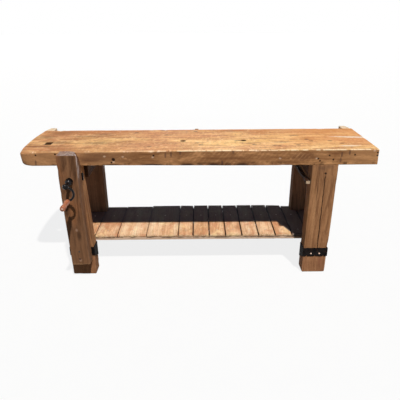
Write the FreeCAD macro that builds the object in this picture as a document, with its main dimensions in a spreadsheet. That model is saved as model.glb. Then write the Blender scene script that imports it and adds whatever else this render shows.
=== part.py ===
import FreeCAD, Part
import Sketcher
import math
import os
import re

# A carpenter's workbench: a thick slab on four legs, with a boarded shelf, a tool tray behind
# the slab and a leg vise at the left end of its front.
# Millimetres and degrees. X runs along the bench to the right, Y from the user's side to the
# back, Z up. The origin is on the floor, under the middle of the whole bench.

# Driving sizes. The two legs, the tray ends and the stop are measured from the slab's ends,
# what hangs under the slab from its top or its underside, and what is on a foot from the
# joint between foot and leg. Other places are measured from the middle of the bench in X and
# from the slab's front face in Y.
SIZES = {
    # Slab
    "bench_high": 850,
    "top_long": 2164,
    "top_depth": 516,
    "top_thick": 88,
    "end_nip": 20,
    "end_apex": 300,
    "stop_in": 136,
    "stop_back": 156,
    "stop_wide": 44,
    "stop_depth": 68,
    "holdfast_first": -96,
    "holdfast_pitch": 388,
    "holdfast_back": 228,
    "holdfast_radius": 17,
    # Legs and feet
    "top_overhang": 242,
    "leg_wide": 154,
    "leg_depth": 90,
    "rear_leg_lap": 12,
    "tenon_wide": 100,
    "tenon_depth": 40,
    "tenon_high": 40,
    "foot_high": 175,
    "foot_round": 12,
    "stub_wide": 70,
    "stub_depth": 36,
    "stub_high": 40,
    # Straps round the joint between leg and foot
    "strap_thick": 4,
    "strap_high": 59,
    "strap_flare": 44,
    "strap_drop_left": 29,
    "strap_drop_right": 51,
    "strap_back_gap": 6,
    "notch_pitch": 54,
    "notch_wide": 14,
    "notch_shift": 1,
    "strap_nail_rise": 18,
    "nail_head_radius": 6,
    "nail_head_high": 3,
    "nail_radius": 2.5,
    "nail_long": 40,
    # Rails and stretchers
    "stretcher_out": 22,
    "stretcher_high": 62,
    "stretcher_edge": 10,
    "stretcher_tenon_rise": 6,
    "stretcher_tenon_high": 34,
    "rail_set_in": 4,
    "rail_out": 23,
    "rail_high": 107,
    "side_tenon_long": 32,
    "side_shoulder": 12,
    # Shelf
    "shelf_rise": 53,
    "shelf_set_back": 25,
    "board_thick": 18,
    "board_gap": 6,
    "tight_gap": 1.5,
    "leg_gap": 2,
    "ledger_depth": 90,
    "ledger_thick": 18,
    "ledger_leg_gap": 10,
    "shelf_nail_in": 70,
    "shelf_nail_radius": 1.5,
    "shelf_nail_long": 32,
    "shelf_head_radius": 4,
    "shelf_head_high": 1.5,
    # Drawer runner
    "runner_thick": 26,
    "runner_high": 20,
    "runner_drop": 110,
    "runner_screw_long": 50,
    "runner_screw_radius": 2.5,
    "runner_head_radius": 5,
    "runner_head_depth": 3,
    # Tool tray
    "tray_end_wide": 57,
    "tray_end_in": 69,
    "tray_end_cut": 18,
    "tray_end_cut_depth": 50,
    "tray_stub": 26,
    "tray_board_thick": 18,
    "tray_back_high": 60,
    "spacer_wide": 26,
    "spacer_shift": 9,
    "spacer_high": 62,
    # Vise jaw
    "jaw_shift": 3,
    "jaw_wide": 120,
    "jaw_thick": 92,
    "jaw_foot_thick": 75,
    "jaw_under": 10,
    "jaw_taper_drop": 250,
    "jaw_rise": 5,
    "jaw_gap": 0.5,
    "jaw_travel": 150,
    "jaw_chamfer": 12,
    "jaw_chamfer_long": 113,
    "jaw_relief": 9,
    "jaw_relief_over": 8,
    "jaw_nail_rise": 28,
    "jaw_nail_pitch": 55,
    "jaw_nail_long": 55,
    # Parallel guide
    "guide_wide": 24,
    "guide_high": 36,
    "guide_drop": 43,
    "guide_tail_out": 195,
    "guide_tenon": 52,
    "guide_clearance": 1,
    "pin_radius": 5,
    "pin_clearance": 0.1,
    "pin_behind": 160,
    "pin_pitch": 40,
    "pin_over": 6,
    "pin_reach": 46,
    "pin_knob_radius": 9,
    # Screw and nut
    "screw_shift": 5,
    "screw_drop": 153,
    "thread_radius": 14,
    "root_radius": 10.5,
    "thread_pitch": 8,
    "thread_root_half": 2.6,
    "thread_crest_half": 1.6,
    "thread_bite": 0.5,
    "thread_lead": 4,
    "thread_clearance": 0.35,
    "bore_clearance": 1,
    "screw_spare": 10,
    "nut_long": 66,
    "nut_radius": 18,
    "nut_fit": 0.2,
    "plate_wide": 118,
    "plate_high": 48,
    "plate_thick": 5,
    "plate_drop": 5,
    "plate_screw_pitch": 92,
    "plate_screw_radius": 3,
    "plate_head_radius": 6,
    "plate_head_depth": 3,
    "plate_screw_long": 40,
    "collar_radius": 22,
    "collar_thick": 6,
    "collar_gap": 0.3,
    "collar_ball": 21,
    "collar_ball_out": 17.5,
    "neck_radius": 9,
    # Crank
    "crank_standoff": 88,
    "crank_ball": 17,
    "crank_socket": 10,
    "crank_throw": 87,
    "crank_bulge": 40,
    "crank_lean": 4,
    "arm_radius": 6.5,
    "eye_radius": 8,
    "spindle_radius": 4,
    "spindle_fit": 0.05,
    "grip_gap": 9,
    "grip_long": 110,
    "grip_waist_radius": 13.5,
    "grip_lobe_radius": 15.5,
    "grip_play": 0.3,
    "rivet_radius": 6.5,
    # Shared
    "overrun": 2,
    "seat": 0.1,
}

# Where the joints between the shelf boards lie, as shares of the shelf's length.
BOARD_EDGE_SHARES = [
    0, 0.078, 0.169, 0.287, 0.415, 0.4765, 0.5428,
    0.609, 0.6753, 0.7434, 0.8114, 0.8795, 0.944, 1,
]
# How far back each board reaches, as shares of the shelf's depth.
BOARD_LENGTH_SHARES = [
    0.98, 0.977, 0.985, 0.996, 1, 1, 1,
    0.994, 1, 0.998, 0.987, 0.955, 0.97,
]
# Boards up to this one lie tight against the next.
LAST_TIGHT_BOARD = 4

BOARDS = len(BOARD_LENGTH_SHARES)
# Holes for the pin in the parallel guide.
GUIDE_HOLES = 4

SIDES = ("left", "right")
ROWS = ("front", "rear")

# Places that several pieces share, as formulas of the sizes. An outer or inner place is
# measured from the middle of the bench, on either side.
TOP_UNDER = "bench_high - top_thick"
LEG_OUTER = "(top_long / 2 - top_overhang)"
LEG_INNER = f"({LEG_OUTER} - leg_wide)"
LEG_MIDDLE = f"({LEG_OUTER} - leg_wide / 2)"
REAR_LEG = "(top_depth - rear_leg_lap)"
LEG_BACK = f"({REAR_LEG} + leg_depth)"
TENON_FRONT = "(leg_depth - tenon_depth) / 2"
SHELF_TOP = "(foot_high + shelf_rise)"
SHELF_UNDER = f"({SHELF_TOP} - board_thick)"
SHELF_FRONT = "(leg_depth + shelf_set_back)"
SHELF_HALF = f"({LEG_OUTER} - stretcher_edge)"
LEDGER_UNDER = f"({SHELF_UNDER} - ledger_thick)"
STRETCHER_LOW = f"({LEDGER_UNDER} - stretcher_high)"
STRETCHER_INNER = f"({LEG_MIDDLE} + stretcher_out)"
STRETCHER_THICK = f"({SHELF_HALF} - {STRETCHER_INNER})"
RAIL_LOW = f"({TOP_UNDER} - rail_high)"
RAIL_INNER = f"({LEG_INNER} + rail_set_in)"
RAIL_THICK = f"({LEG_MIDDLE} - rail_out - {RAIL_INNER})"
RUNNER_LOW = f"({TOP_UNDER} - runner_drop - runner_high)"
TRAY_END_INNER = "(top_long / 2 - tray_end_in)"
TRAY_DEPTH = f"({LEG_BACK} - top_depth)"
GUIDE_LOW = "(foot_high - guide_drop)"
JAW_X = f"(jaw_shift - {LEG_MIDDLE})"
JAW_LOW = f"({GUIDE_LOW} - jaw_under)"
JAW_BACK = "-jaw_gap"
JAW_FRONT = "-jaw_gap - jaw_thick"
JAW_TOP = "(bench_high + jaw_rise)"
JAW_TAPER_HIGH = f"(bench_high - jaw_taper_drop - {JAW_LOW})"
GUIDE_CORNER = (f"{JAW_X} - guide_wide / 2", f"{JAW_BACK} - guide_tenon", GUIDE_LOW)
PIN_BACK = "(leg_depth + pin_behind)"
SCREW_X = f"(screw_shift - {LEG_MIDDLE})"
SCREW_Z = "(bench_high - screw_drop)"
SCREW_BACK = "nut_long + jaw_travel + screw_spare"
PLATE_LOW = f"({SCREW_Z} - plate_high / 2 - plate_drop)"
CRANK_PLANE = "-jaw_gap - jaw_thick - crank_standoff"
ARC_RADIUS = "(crank_throw ^ 2 / 4 + crank_bulge ^ 2) / (2 * crank_bulge)"
GRIP_X = f"{SCREW_X} + crank_throw * sin(crank_lean * 1deg)"
GRIP_Z = f"{SCREW_Z} - crank_throw * cos(crank_lean * 1deg)"
GRIP_FRONT = f"{CRANK_PLANE} - grip_gap - grip_long"
SLAB_FRONT = (
    "(jaw_gap + jaw_thick + crank_standoff + grip_gap + grip_long + rivet_radius"
    f" - {LEG_BACK} - strap_thick - nail_head_high) / 2"
)

# Ways to turn a solid that stands along Z
STRAIGHT = FreeCAD.Rotation()
ALONG = {
    "X": FreeCAD.Rotation(FreeCAD.Vector(0, 1, 0), 90),
    "Y": FreeCAD.Rotation(FreeCAD.Vector(1, 0, 0), -90),
    "Z": STRAIGHT,
}
FORWARDS = FreeCAD.Rotation(FreeCAD.Vector(1, 0, 0), 90)

doc = FreeCAD.newDocument("workbench")
sheet = doc.addObject("Spreadsheet::Sheet", "Sizes")
for line, (size_name, size) in enumerate(SIZES.items(), start=1):
    sheet.set(f"A{line}", size_name)
    sheet.set(f"B{line}", str(size))
    sheet.setAlias(f"B{line}", size_name)
doc.recompute()

pieces = []


def formula(text):
    """The text with each size's name pointed at its cell."""
    return re.sub(r"\b[a-z][a-z_]*\b(?!\()", lambda word: "Sizes." + word.group(), text)


def bind(thing, **sizes):
    """Tie properties of a document object to formulas."""
    for name, text in sizes.items():
        thing.setExpression(name, formula(text))


def put(thing, x, y, z):
    """Tie an object's place to three formulas."""
    for letter, text in zip("xyz", (x, y, z)):
        thing.setExpression(f"Placement.Base.{letter}", formula(text))


def low_side(side, inner, wide):
    """The low X of a block whose inner face is so far from the middle, on either side."""
    return f"({inner})" if side == "right" else f"-({inner}) - ({wide})"


class Piece:
    """One piece of the bench: solids joined and cut round the piece's own corner.

    The corner and every place are formulas in bench coordinates, with Y from the slab's
    front face.
    """

    def __init__(self, name, corner):
        self.name = name
        self.corner = corner
        self.solids = []
        self.tools = []

    def put_in(self, thing, at):
        """Place a solid by its bench coordinates, measured from the piece's corner."""
        put(thing, *[f"({place}) - ({low})" for place, low in zip(at, self.corner)])

    def primitive(self, kind, at, turned, **sizes):
        thing = doc.addObject(f"Part::{kind}", f"{self.name}_{kind.lower()}")
        bind(thing, **sizes)
        thing.Placement.Rotation = turned
        self.put_in(thing, at)
        return thing

    def box(self, at, size, turned=STRAIGHT):
        long, deep, high = size
        return self.primitive("Box", at, turned, Length=long, Width=deep, Height=high)

    def rod(self, at, along, radius, long):
        return self.primitive("Cylinder", at, ALONG[along], Radius=radius, Height=long)

    def cone(self, at, along, first, last, long):
        return self.primitive("Cone", at, ALONG[along], Radius1=first, Radius2=last, Height=long)

    def ball(self, at, radius):
        return self.primitive("Sphere", at, FORWARDS, Radius=radius)

    def profile(self, at, plane, points, long):
        """A straight-sided outline drawn on one of a body's planes and padded."""
        body = doc.addObject("PartDesign::Body", f"{self.name}_body")
        sketch = body.newObject("Sketcher::SketchObject", f"{self.name}_outline")
        origin = [part for part in body.Origin.OriginFeatures if part.Role == plane][0]
        sketch.AttachmentSupport = (origin, [""])
        sketch.MapMode = "FlatFace"
        draw(sketch, points)
        pad = body.newObject("PartDesign::Pad", f"{self.name}_pad")
        pad.Profile = sketch
        bind(pad, Length=long)
        self.put_in(body, at)
        return body

    def shared(self, one, other):
        """What two solids have in common."""
        common = doc.addObject("Part::Common", f"{self.name}_shared")
        common.Base = one
        common.Tool = other
        return common

    def add(self, *solids):
        self.solids.extend(solids)

    def cut(self, *tools):
        self.tools.extend(tools)

    def joined(self, things, what):
        if len(things) == 1:
            return things[0]
        union = doc.addObject("Part::MultiFuse", f"{self.name}_{what}")
        union.Shapes = things
        return union

    def done(self):
        """Join and cut the piece, put it in its place and list it."""
        result = self.joined(self.solids, "blank")
        if self.tools:
            blank = result
            result = doc.addObject("Part::Cut", self.name)
            result.Base = blank
            result.Tool = self.joined(self.tools, "cuts")
        return self.place(result)

    def group(self):
        """Keep the solids as a set of like pieces."""
        result = doc.addObject("Part::Compound", self.name)
        result.Links = self.solids
        return self.place(result)

    def place(self, result):
        result.Label = self.name
        x, y, z = self.corner
        put(result, x, f"({y}) + {SLAB_FRONT}", z)
        pieces.append(result)
        return result


def first_guess(index, count):
    """A start for an outline's corner, in order round a circle."""
    angle = 2 * math.pi * index / count
    return FreeCAD.Vector(math.cos(angle), math.sin(angle), 0)


def draw(sketch, points):
    """A closed outline of straight lines, each corner tied to two formulas."""
    count = len(points)
    for index in range(count):
        sketch.addGeometry(Part.LineSegment(first_guess(index, count), first_guess(index + 1, count)))
    for index in range(count):
        sketch.addConstraint(Sketcher.Constraint("Coincident", index, 2, (index + 1) % count, 1))
    for index, (across, up) in enumerate(points):
        guess = first_guess(index, count)
        for kind, start, text in (("DistanceX", guess.x, across), ("DistanceY", guess.y, up)):
            number = sketch.addConstraint(Sketcher.Constraint(kind, -1, 1, index, 1, start))
            sketch.setExpression(f"Constraints[{number}]", formula(text))


# Slab


def bench_top():
    """The slab: a hand-worn bow at the left end, a stop mortise and two holdfast holes."""
    corner = ("-top_long / 2", "0", TOP_UNDER)
    piece = Piece("bench_top", corner)
    bow = "(end_apex ^ 2 + end_nip ^ 2) / (2 * end_nip)"
    plank = piece.box(corner, ("top_long", "top_depth", "top_thick"))
    sweep = piece.rod((f"{bow} - top_long / 2", "end_apex", TOP_UNDER), "Z", bow, "top_thick")
    piece.add(piece.shared(plank, sweep))
    below = f"{TOP_UNDER} - overrun"
    through = "top_thick + 2 * overrun"
    stop = ("-top_long / 2 + stop_in - stop_wide / 2", "stop_back", below)
    piece.cut(piece.box(stop, ("stop_wide", "stop_depth", through)))
    for number in range(2):
        across = f"holdfast_first + {number} * holdfast_pitch"
        piece.cut(piece.rod((across, "holdfast_back", below), "Z", "holdfast_radius", through))
    for side in SIDES:
        low = low_side(side, f"{LEG_INNER} + (leg_wide - tenon_wide) / 2", "tenon_wide")
        mortise = ("tenon_wide", "tenon_depth", "tenon_high + overrun")
        piece.cut(piece.box((low, TENON_FRONT, below), mortise), tray_stub(piece, side))
    piece.done()


def tray_stub(piece, side):
    """The stub of a tray end, let into the slab's back edge."""
    low = low_side(side, f"{TRAY_END_INNER} + (tray_end_wide - tray_stub) / 2", "tray_stub")
    return piece.box(
        (low, "top_depth - tray_stub", f"{TOP_UNDER} + (top_thick - tray_stub) / 2"),
        ("tray_stub", "tray_stub", "tray_stub"),
    )


# Legs and feet


def row_front(row):
    return "0" if row == "front" else REAR_LEG


def stub(piece, side, row):
    """The stub on top of a foot, and the hole for it in the leg."""
    low = low_side(side, f"{LEG_INNER} + (leg_wide - stub_wide) / 2", "stub_wide")
    back = f"{row_front(row)} + (leg_depth - stub_depth) / 2"
    return piece.box((low, back, "foot_high"), ("stub_wide", "stub_depth", "stub_high"))


def side_tenon(piece, side, row, inner, thick, low, high):
    """The end of a rail that runs from front to back, inside a leg or a foot."""
    back = "leg_depth - side_tenon_long" if row == "front" else REAR_LEG
    wide = f"{thick} - 2 * side_shoulder"
    across = low_side(side, f"{inner} + side_shoulder", wide)
    return piece.box((across, back, low), (wide, "side_tenon_long", high))


def rail_tenon(piece, side, row):
    low = f"{RAIL_LOW} + side_shoulder"
    return side_tenon(
        piece, side, row, RAIL_INNER, RAIL_THICK, low, "rail_high - 2 * side_shoulder"
    )


def stretcher_tenon(piece, side, row):
    low = f"{STRETCHER_LOW} + stretcher_tenon_rise"
    return side_tenon(
        piece, side, row, STRETCHER_INNER, STRETCHER_THICK, low, "stretcher_tenon_high"
    )


def leg(side, row):
    corner = (low_side(side, LEG_INNER, "leg_wide"), row_front(row), "foot_high")
    piece = Piece(f"leg_{row}_{side}", corner)
    piece.add(piece.box(corner, ("leg_wide", "leg_depth", f"{TOP_UNDER} - foot_high")))
    if row == "front":
        low = low_side(side, f"{LEG_INNER} + (leg_wide - tenon_wide) / 2", "tenon_wide")
        piece.add(piece.box((low, TENON_FRONT, TOP_UNDER), ("tenon_wide", "tenon_depth", "tenon_high")))
    piece.cut(stub(piece, side, row), rail_tenon(piece, side, row))
    if row == "front" and side == "left":
        piece.cut(*nut_seat(piece))
    if side == "right":
        piece.cut(runner_screw(piece, row, "seat"))
    piece.done()


def nut_seat(piece):
    """The hole through the left front leg for the nut and the screw."""
    axis = (SCREW_X, "0", SCREW_Z)
    return [
        piece.box(
            (f"{SCREW_X} - plate_wide / 2", "-overrun", PLATE_LOW),
            ("plate_wide", "plate_thick + overrun", "plate_high"),
        ),
        piece.rod(axis, "Y", "nut_radius + nut_fit", "nut_long"),
        piece.rod(axis, "Y", "thread_radius + bore_clearance", "leg_depth + overrun"),
        *[plate_screw(piece, step, "seat") for step in (-1, 1)],
    ]


def foot(side, row):
    """A foot block spliced under a leg, its lower corners worn round."""
    corner = (low_side(side, LEG_INNER, "leg_wide"), row_front(row), "0")
    piece = Piece(f"foot_{row}_{side}", corner)
    plan = [("0", "0"), ("leg_wide", "0"), ("leg_wide", "leg_depth"), ("0", "leg_depth")]
    body = piece.profile(corner, "XY_Plane", plan, "foot_high")
    doc.recompute()
    block = body.Tip
    worn = body.newObject("PartDesign::Fillet", f"{piece.name}_worn")
    worn.Base = (block, floor_edges_along_y(block.Shape))
    bind(worn, Radius="foot_round")
    piece.add(body, stub(piece, side, row))
    piece.cut(stretcher_tenon(piece, side, row))
    if row == "front" and side == "left":
        piece.cut(guide_way(piece, "0", "leg_depth", f"{GUIDE_LOW} - guide_clearance"))
    piece.cut(*[strap_nail_shank(piece, side, row, step, "seat") for step in (-1, 1)])
    piece.done()


def floor_edges_along_y(shape):
    """Names of the edges that lie on the floor and run from front to back."""
    names = []
    for number, edge in enumerate(shape.Edges, start=1):
        box = edge.BoundBox
        if max(box.ZMax - shape.BoundBox.ZMin, box.XLength) < box.YLength / 2:
            names.append(f"Edge{number}")
    return names


def guide_way(piece, front, deep, low):
    """A slot of the guide's width, from a named height up to just over the guide."""
    return piece.box(
        (f"{JAW_X} - guide_wide / 2 - guide_clearance", f"{front} - overrun", low),
        (
            "guide_wide + 2 * guide_clearance",
            f"{deep} + 2 * overrun",
            f"{GUIDE_LOW} + guide_high + guide_clearance - ({low})",
        ),
    )


# Straps round the joint between leg and foot


def strap_face(row):
    """Y of the front of a strap's plate, on the bench's outer face."""
    return "-strap_thick" if row == "front" else LEG_BACK


def strap_place(side, steps):
    """X of a place on a strap's lower edge, in pitches from its middle outwards."""
    outwards = f"{LEG_MIDDLE} + notch_shift + {steps} * notch_pitch"
    return outwards if side == "right" else f"-({outwards})"


def strap(side, row):
    """An iron strap: a plate with a notched lower edge and two arms that flare away from it."""
    low = f"foot_high - strap_drop_{side}"
    reach = "leg_depth - strap_back_gap + strap_thick"
    top = "strap_flare + strap_high"
    if row == "front":
        front = "-strap_thick"
        side_view = [("0", "strap_flare"), (reach, "0"), (reach, top), ("0", top)]
    else:
        front = f"{REAR_LEG} + strap_back_gap"
        side_view = [("0", "0"), (reach, "strap_flare"), (reach, top), ("0", top)]
    wide = "leg_wide + 2 * strap_thick"
    left = low_side(side, f"{LEG_INNER} - strap_thick", wide)
    corner = (left, front, f"{low} - strap_flare")
    piece = Piece(f"strap_{row}_{side}", corner)
    piece.add(piece.profile(corner, "YZ_Plane", side_view, wide))
    # The leg inside the strap
    piece.cut(
        piece.box(
            (low_side(side, LEG_INNER, "leg_wide"), row_front(row), f"{low} - strap_flare - overrun"),
            ("leg_wide", "leg_depth", f"{top} + 2 * overrun"),
        )
    )
    # Three-cornered notches
    for steps in (-1, 0, 1):
        place = strap_place(side, steps)
        at = (place, f"{strap_face(row)} - overrun", f"{low} - notch_wide / 2")
        bar = ("notch_wide / sqrt(2)", "strap_thick + 2 * overrun", "notch_wide / sqrt(2)")
        piece.cut(piece.box(at, bar, FreeCAD.Rotation(FreeCAD.Vector(0, 1, 0), -45)))
    if row == "front" and side == "left":
        piece.cut(guide_way(piece, "-strap_thick", "strap_thick", f"{low} - notch_wide"))
    piece.cut(*[strap_nail_shank(piece, side, row, step, "seat") for step in (-1, 1)])
    piece.done()


def strap_nail_at(side, row, step, out):
    """A place on a strap nail's axis, so far from the strap's outer face."""
    face = f"-strap_thick - ({out})" if row == "front" else f"{LEG_BACK} + strap_thick + ({out})"
    return (strap_place(side, step / 2), face, f"foot_high - strap_drop_{side} + strap_nail_rise")


def strap_nail_shank(piece, side, row, step, play):
    start = "0" if row == "front" else f"-nail_long - {play}"
    at = strap_nail_at(side, row, step, start)
    return piece.rod(at, "Y", f"nail_radius + {play}", f"nail_long + {play}")


def strap_nails():
    """Two rose-headed nails to a strap."""
    piece = Piece("strap_nails", ("0", "0", "0"))
    for row in ROWS:
        for side in SIDES:
            for step in (-1, 1):
                if row == "front":
                    at = strap_nail_at(side, row, step, "nail_head_high")
                    head = piece.cone(at, "Y", "nail_radius", "nail_head_radius", "nail_head_high")
                else:
                    at = strap_nail_at(side, row, step, "0")
                    head = piece.cone(at, "Y", "nail_head_radius", "nail_radius", "nail_head_high")
                shank = strap_nail_shank(piece, side, row, step, "0")
                piece.add(piece.joined([head, shank], "nail"))
    piece.group()


# Rails and stretchers


def side_rail(name, side, inner, thick, low, high, tenon):
    """A rail from a front leg to the leg behind it, with a tenon at each end."""
    across = low_side(side, inner, thick)
    piece = Piece(f"{name}_{side}", (across, "leg_depth", low))
    piece.add(piece.box(piece.corner, (thick, f"{REAR_LEG} - leg_depth", high)))
    for row in ROWS:
        piece.add(tenon(piece, side, row))
    piece.done()


def ledger_front(row):
    return SHELF_FRONT if row == "front" else f"{REAR_LEG} - ledger_leg_gap - ledger_depth"


def ledger(row):
    """A flat rail under the shelf boards, lying on the side stretchers."""
    piece = Piece(f"shelf_rail_{row}", (f"-{SHELF_HALF}", ledger_front(row), LEDGER_UNDER))
    piece.add(piece.box(piece.corner, (f"2 * {SHELF_HALF}", "ledger_depth", "ledger_thick")))
    for number in range(BOARDS):
        piece.cut(shelf_nail_shank(piece, number, row, "seat"))
    piece.done()


# Shelf


def board_edges(number):
    """The low X and the width of a shelf board."""
    first = BOARD_EDGE_SHARES[number]
    last = BOARD_EDGE_SHARES[number + 1]
    gap = "tight_gap" if number < LAST_TIGHT_BOARD else "board_gap"
    low = f"(2 * {first} - 1) * {SHELF_HALF} + {gap} / 2"
    wide = f"2 * ({last} - {first}) * {SHELF_HALF} - {gap}"
    return low, wide


def shelf_board(number):
    """A board from front to back, cut round the rear leg where it meets one."""
    low, wide = board_edges(number)
    long = f"{BOARD_LENGTH_SHARES[number]} * ({LEG_BACK} - {SHELF_FRONT})"
    piece = Piece(f"shelf_board_{number + 1:02d}", (low, SHELF_FRONT, SHELF_UNDER))
    piece.add(piece.box(piece.corner, (wide, long, "board_thick")))
    for side in SIDES:
        clear = "leg_wide + 2 * leg_gap"
        across = low_side(side, f"{LEG_INNER} - leg_gap", clear)
        piece.cut(
            piece.box(
                (across, f"{REAR_LEG} - leg_gap", f"{SHELF_UNDER} - overrun"),
                (clear, "leg_depth + 2 * leg_gap", "board_thick + 2 * overrun"),
            )
        )
    for row in ROWS:
        piece.cut(
            shelf_nail_shank(piece, number, row, "seat"),
            shelf_nail_head(piece, number, row, "seat"),
        )
    piece.done()


def shelf_nail_place(number, row):
    """X and Y of a nail through a board into a rail under it."""
    low, wide = board_edges(number)
    inwards = "shelf_nail_in" if row == "front" else "ledger_depth - shelf_nail_in"
    return f"{low} + ({wide}) / 2", f"{ledger_front(row)} + {inwards}"


def shelf_nail_shank(piece, number, row, play):
    x, y = shelf_nail_place(number, row)
    long = f"shelf_nail_long + {play}"
    return piece.rod((x, y, f"{SHELF_TOP} - ({long})"), "Z", f"shelf_nail_radius + {play}", long)


def shelf_nail_head(piece, number, row, play):
    x, y = shelf_nail_place(number, row)
    deep = f"shelf_head_high + {play}"
    return piece.rod((x, y, f"{SHELF_TOP} - ({deep})"), "Z", f"shelf_head_radius + {play}", deep)


def shelf_nails():
    """A nail through each board into each rail, its flat head driven flush."""
    piece = Piece("shelf_nails", ("0", "0", "0"))
    for row in ROWS:
        for number in range(BOARDS):
            head = shelf_nail_head(piece, number, row, "0")
            shank = shelf_nail_shank(piece, number, row, "0")
            piece.add(piece.joined([head, shank], "nail"))
    piece.group()


# Drawer runner


def drawer_runner():
    """The strip that a drawer slid on, on the inside of the right legs."""
    piece = Piece("drawer_runner", (f"{LEG_INNER} - runner_thick", "0", RUNNER_LOW))
    piece.add(piece.box(piece.corner, ("runner_thick", LEG_BACK, "runner_high")))
    piece.cut(*[runner_screw(piece, row, "seat") for row in ROWS])
    piece.done()


def runner_screw(piece, row, play):
    """A countersunk screw through the runner into a leg, with so much play round it."""
    back = f"{row_front(row)} + leg_depth / 2"
    at = (f"{LEG_INNER} - runner_thick", back, f"{RUNNER_LOW} + runner_high / 2")
    outer = f"runner_head_radius + {play}"
    inner = f"runner_screw_radius + {play}"
    head = piece.cone(at, "X", outer, inner, "runner_head_depth")
    shank = piece.rod(at, "X", inner, f"runner_screw_long + {play}")
    return piece.joined([head, shank], "screw")


def runner_screws():
    piece = Piece("runner_screws", ("0", "0", "0"))
    piece.add(*[runner_screw(piece, row, "0") for row in ROWS])
    piece.group()


# Tool tray


def tray_end(side):
    """A block at the tray's end, level with the slab, its outer back corner cut away."""
    wide, deep = "tray_end_wide", TRAY_DEPTH
    plan = [
        ("0", "0"),
        (wide, "0"),
        (wide, f"{deep} - tray_end_cut_depth"),
        (f"{wide} - tray_end_cut", deep),
        ("0", deep),
    ]
    if side == "left":
        plan = [(f"{wide} - ({across})", back) for across, back in reversed(plan)]
    corner = (low_side(side, TRAY_END_INNER, wide), "top_depth", TOP_UNDER)
    piece = Piece(f"tray_end_{side}", corner)
    piece.add(piece.profile(corner, "XY_Plane", plan, "top_thick"), tray_stub(piece, side))
    piece.done()


def tray_board(name, corner, size):
    piece = Piece(name, corner)
    piece.add(piece.box(corner, size))
    piece.done()


def tray_boards():
    """The tray's floor and back, on top of the rear legs, and the block between them."""
    inside = f"{TRAY_DEPTH} - tray_board_thick"
    long = f"2 * {TRAY_END_INNER}"
    tray_board(
        "tray_bottom",
        (f"-{TRAY_END_INNER}", "top_depth", TOP_UNDER),
        (long, inside, "tray_board_thick"),
    )
    tray_board(
        "tray_back",
        (f"-{TRAY_END_INNER}", f"{LEG_BACK} - tray_board_thick", TOP_UNDER),
        (long, "tray_board_thick", "tray_back_high"),
    )
    tray_board(
        "tray_spacer",
        ("-spacer_wide / 2 - spacer_shift", "top_depth", f"{TOP_UNDER} + tray_board_thick"),
        ("spacer_wide", inside, "spacer_high"),
    )


# Vise jaw and its guide


def vise_jaw():
    """The jaw: thick at the top and tapered below, with one worn arris."""
    left = f"{JAW_X} - jaw_wide / 2"
    corner = (left, JAW_FRONT, JAW_LOW)
    high = f"{JAW_TOP} - {JAW_LOW}"
    side_view = [
        ("jaw_thick", "0"),
        ("jaw_thick", high),
        ("0", high),
        ("0", JAW_TAPER_HIGH),
        ("jaw_thick - jaw_foot_thick", "0"),
    ]
    piece = Piece("vise_jaw", corner)
    piece.add(piece.profile(corner, "YZ_Plane", side_view, "jaw_wide"))
    # Relief for the strap on the leg behind
    relief_top = "foot_high - strap_drop_left + strap_high + jaw_relief_over"
    piece.cut(
        piece.box(
            (f"{left} - overrun", f"{JAW_BACK} - jaw_relief", f"{JAW_LOW} - overrun"),
            ("jaw_wide + 2 * overrun", "jaw_relief + overrun", f"{relief_top} - {JAW_LOW} + overrun"),
        )
    )
    # Worn arris at the top right
    edge = (f"{JAW_X} + jaw_wide / 2", f"{JAW_FRONT} - jaw_chamfer", f"{JAW_TOP} - jaw_chamfer_long")
    bar = ("jaw_chamfer * sqrt(2)", "jaw_chamfer * sqrt(2)", "jaw_chamfer_long + overrun")
    piece.cut(piece.box(edge, bar, FreeCAD.Rotation(FreeCAD.Vector(0, 0, 1), 45)))
    piece.cut(
        piece.rod(
            (SCREW_X, f"{JAW_FRONT} - overrun", SCREW_Z),
            "Y",
            "thread_radius + bore_clearance",
            "jaw_thick + 2 * overrun",
        ),
        piece.box(GUIDE_CORNER, ("guide_wide", "guide_tenon", "guide_high")),
        *[jaw_nail(piece, step, "seat") for step in range(2)],
    )
    piece.done()


def jaw_nail(piece, step, play):
    """A nail in the jaw's face, the lower one into the guide, with so much play round it."""
    rise = f"{GUIDE_LOW} + jaw_nail_rise + {step} * jaw_nail_pitch"
    taper = f"(jaw_thick - jaw_foot_thick) / {JAW_TAPER_HIGH}"
    face = f"{JAW_BACK} - jaw_foot_thick - {taper} * ({rise} - {JAW_LOW})"
    at = (JAW_X, face, rise)
    head = piece.rod(at, "Y", f"nail_head_radius + {play}", f"nail_head_high + {play}")
    shank = piece.rod(at, "Y", f"nail_radius + {play}", f"jaw_nail_long + {play}")
    return piece.joined([head, shank], "nail")


def jaw_nails():
    piece = Piece("jaw_nails", ("0", "0", "0"))
    piece.add(*[jaw_nail(piece, step, "0") for step in range(2)])
    piece.group()


def guide_bar():
    """The parallel guide: a bar through the foot, with a row of holes for the pin."""
    piece = Piece("guide_bar", GUIDE_CORNER)
    long = "leg_depth + guide_tail_out + jaw_gap + guide_tenon"
    piece.add(piece.box(GUIDE_CORNER, ("guide_wide", long, "guide_high")))
    side = f"{JAW_X} - guide_wide / 2 - overrun"
    middle = f"{GUIDE_LOW} + guide_high / 2"
    for number in range(GUIDE_HOLES):
        at = (side, f"{PIN_BACK} - {number} * pin_pitch", middle)
        piece.cut(piece.rod(at, "X", "pin_radius + pin_clearance", "guide_wide + 2 * overrun"))
    piece.cut(jaw_nail(piece, 0, "seat"))
    piece.done()


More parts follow.
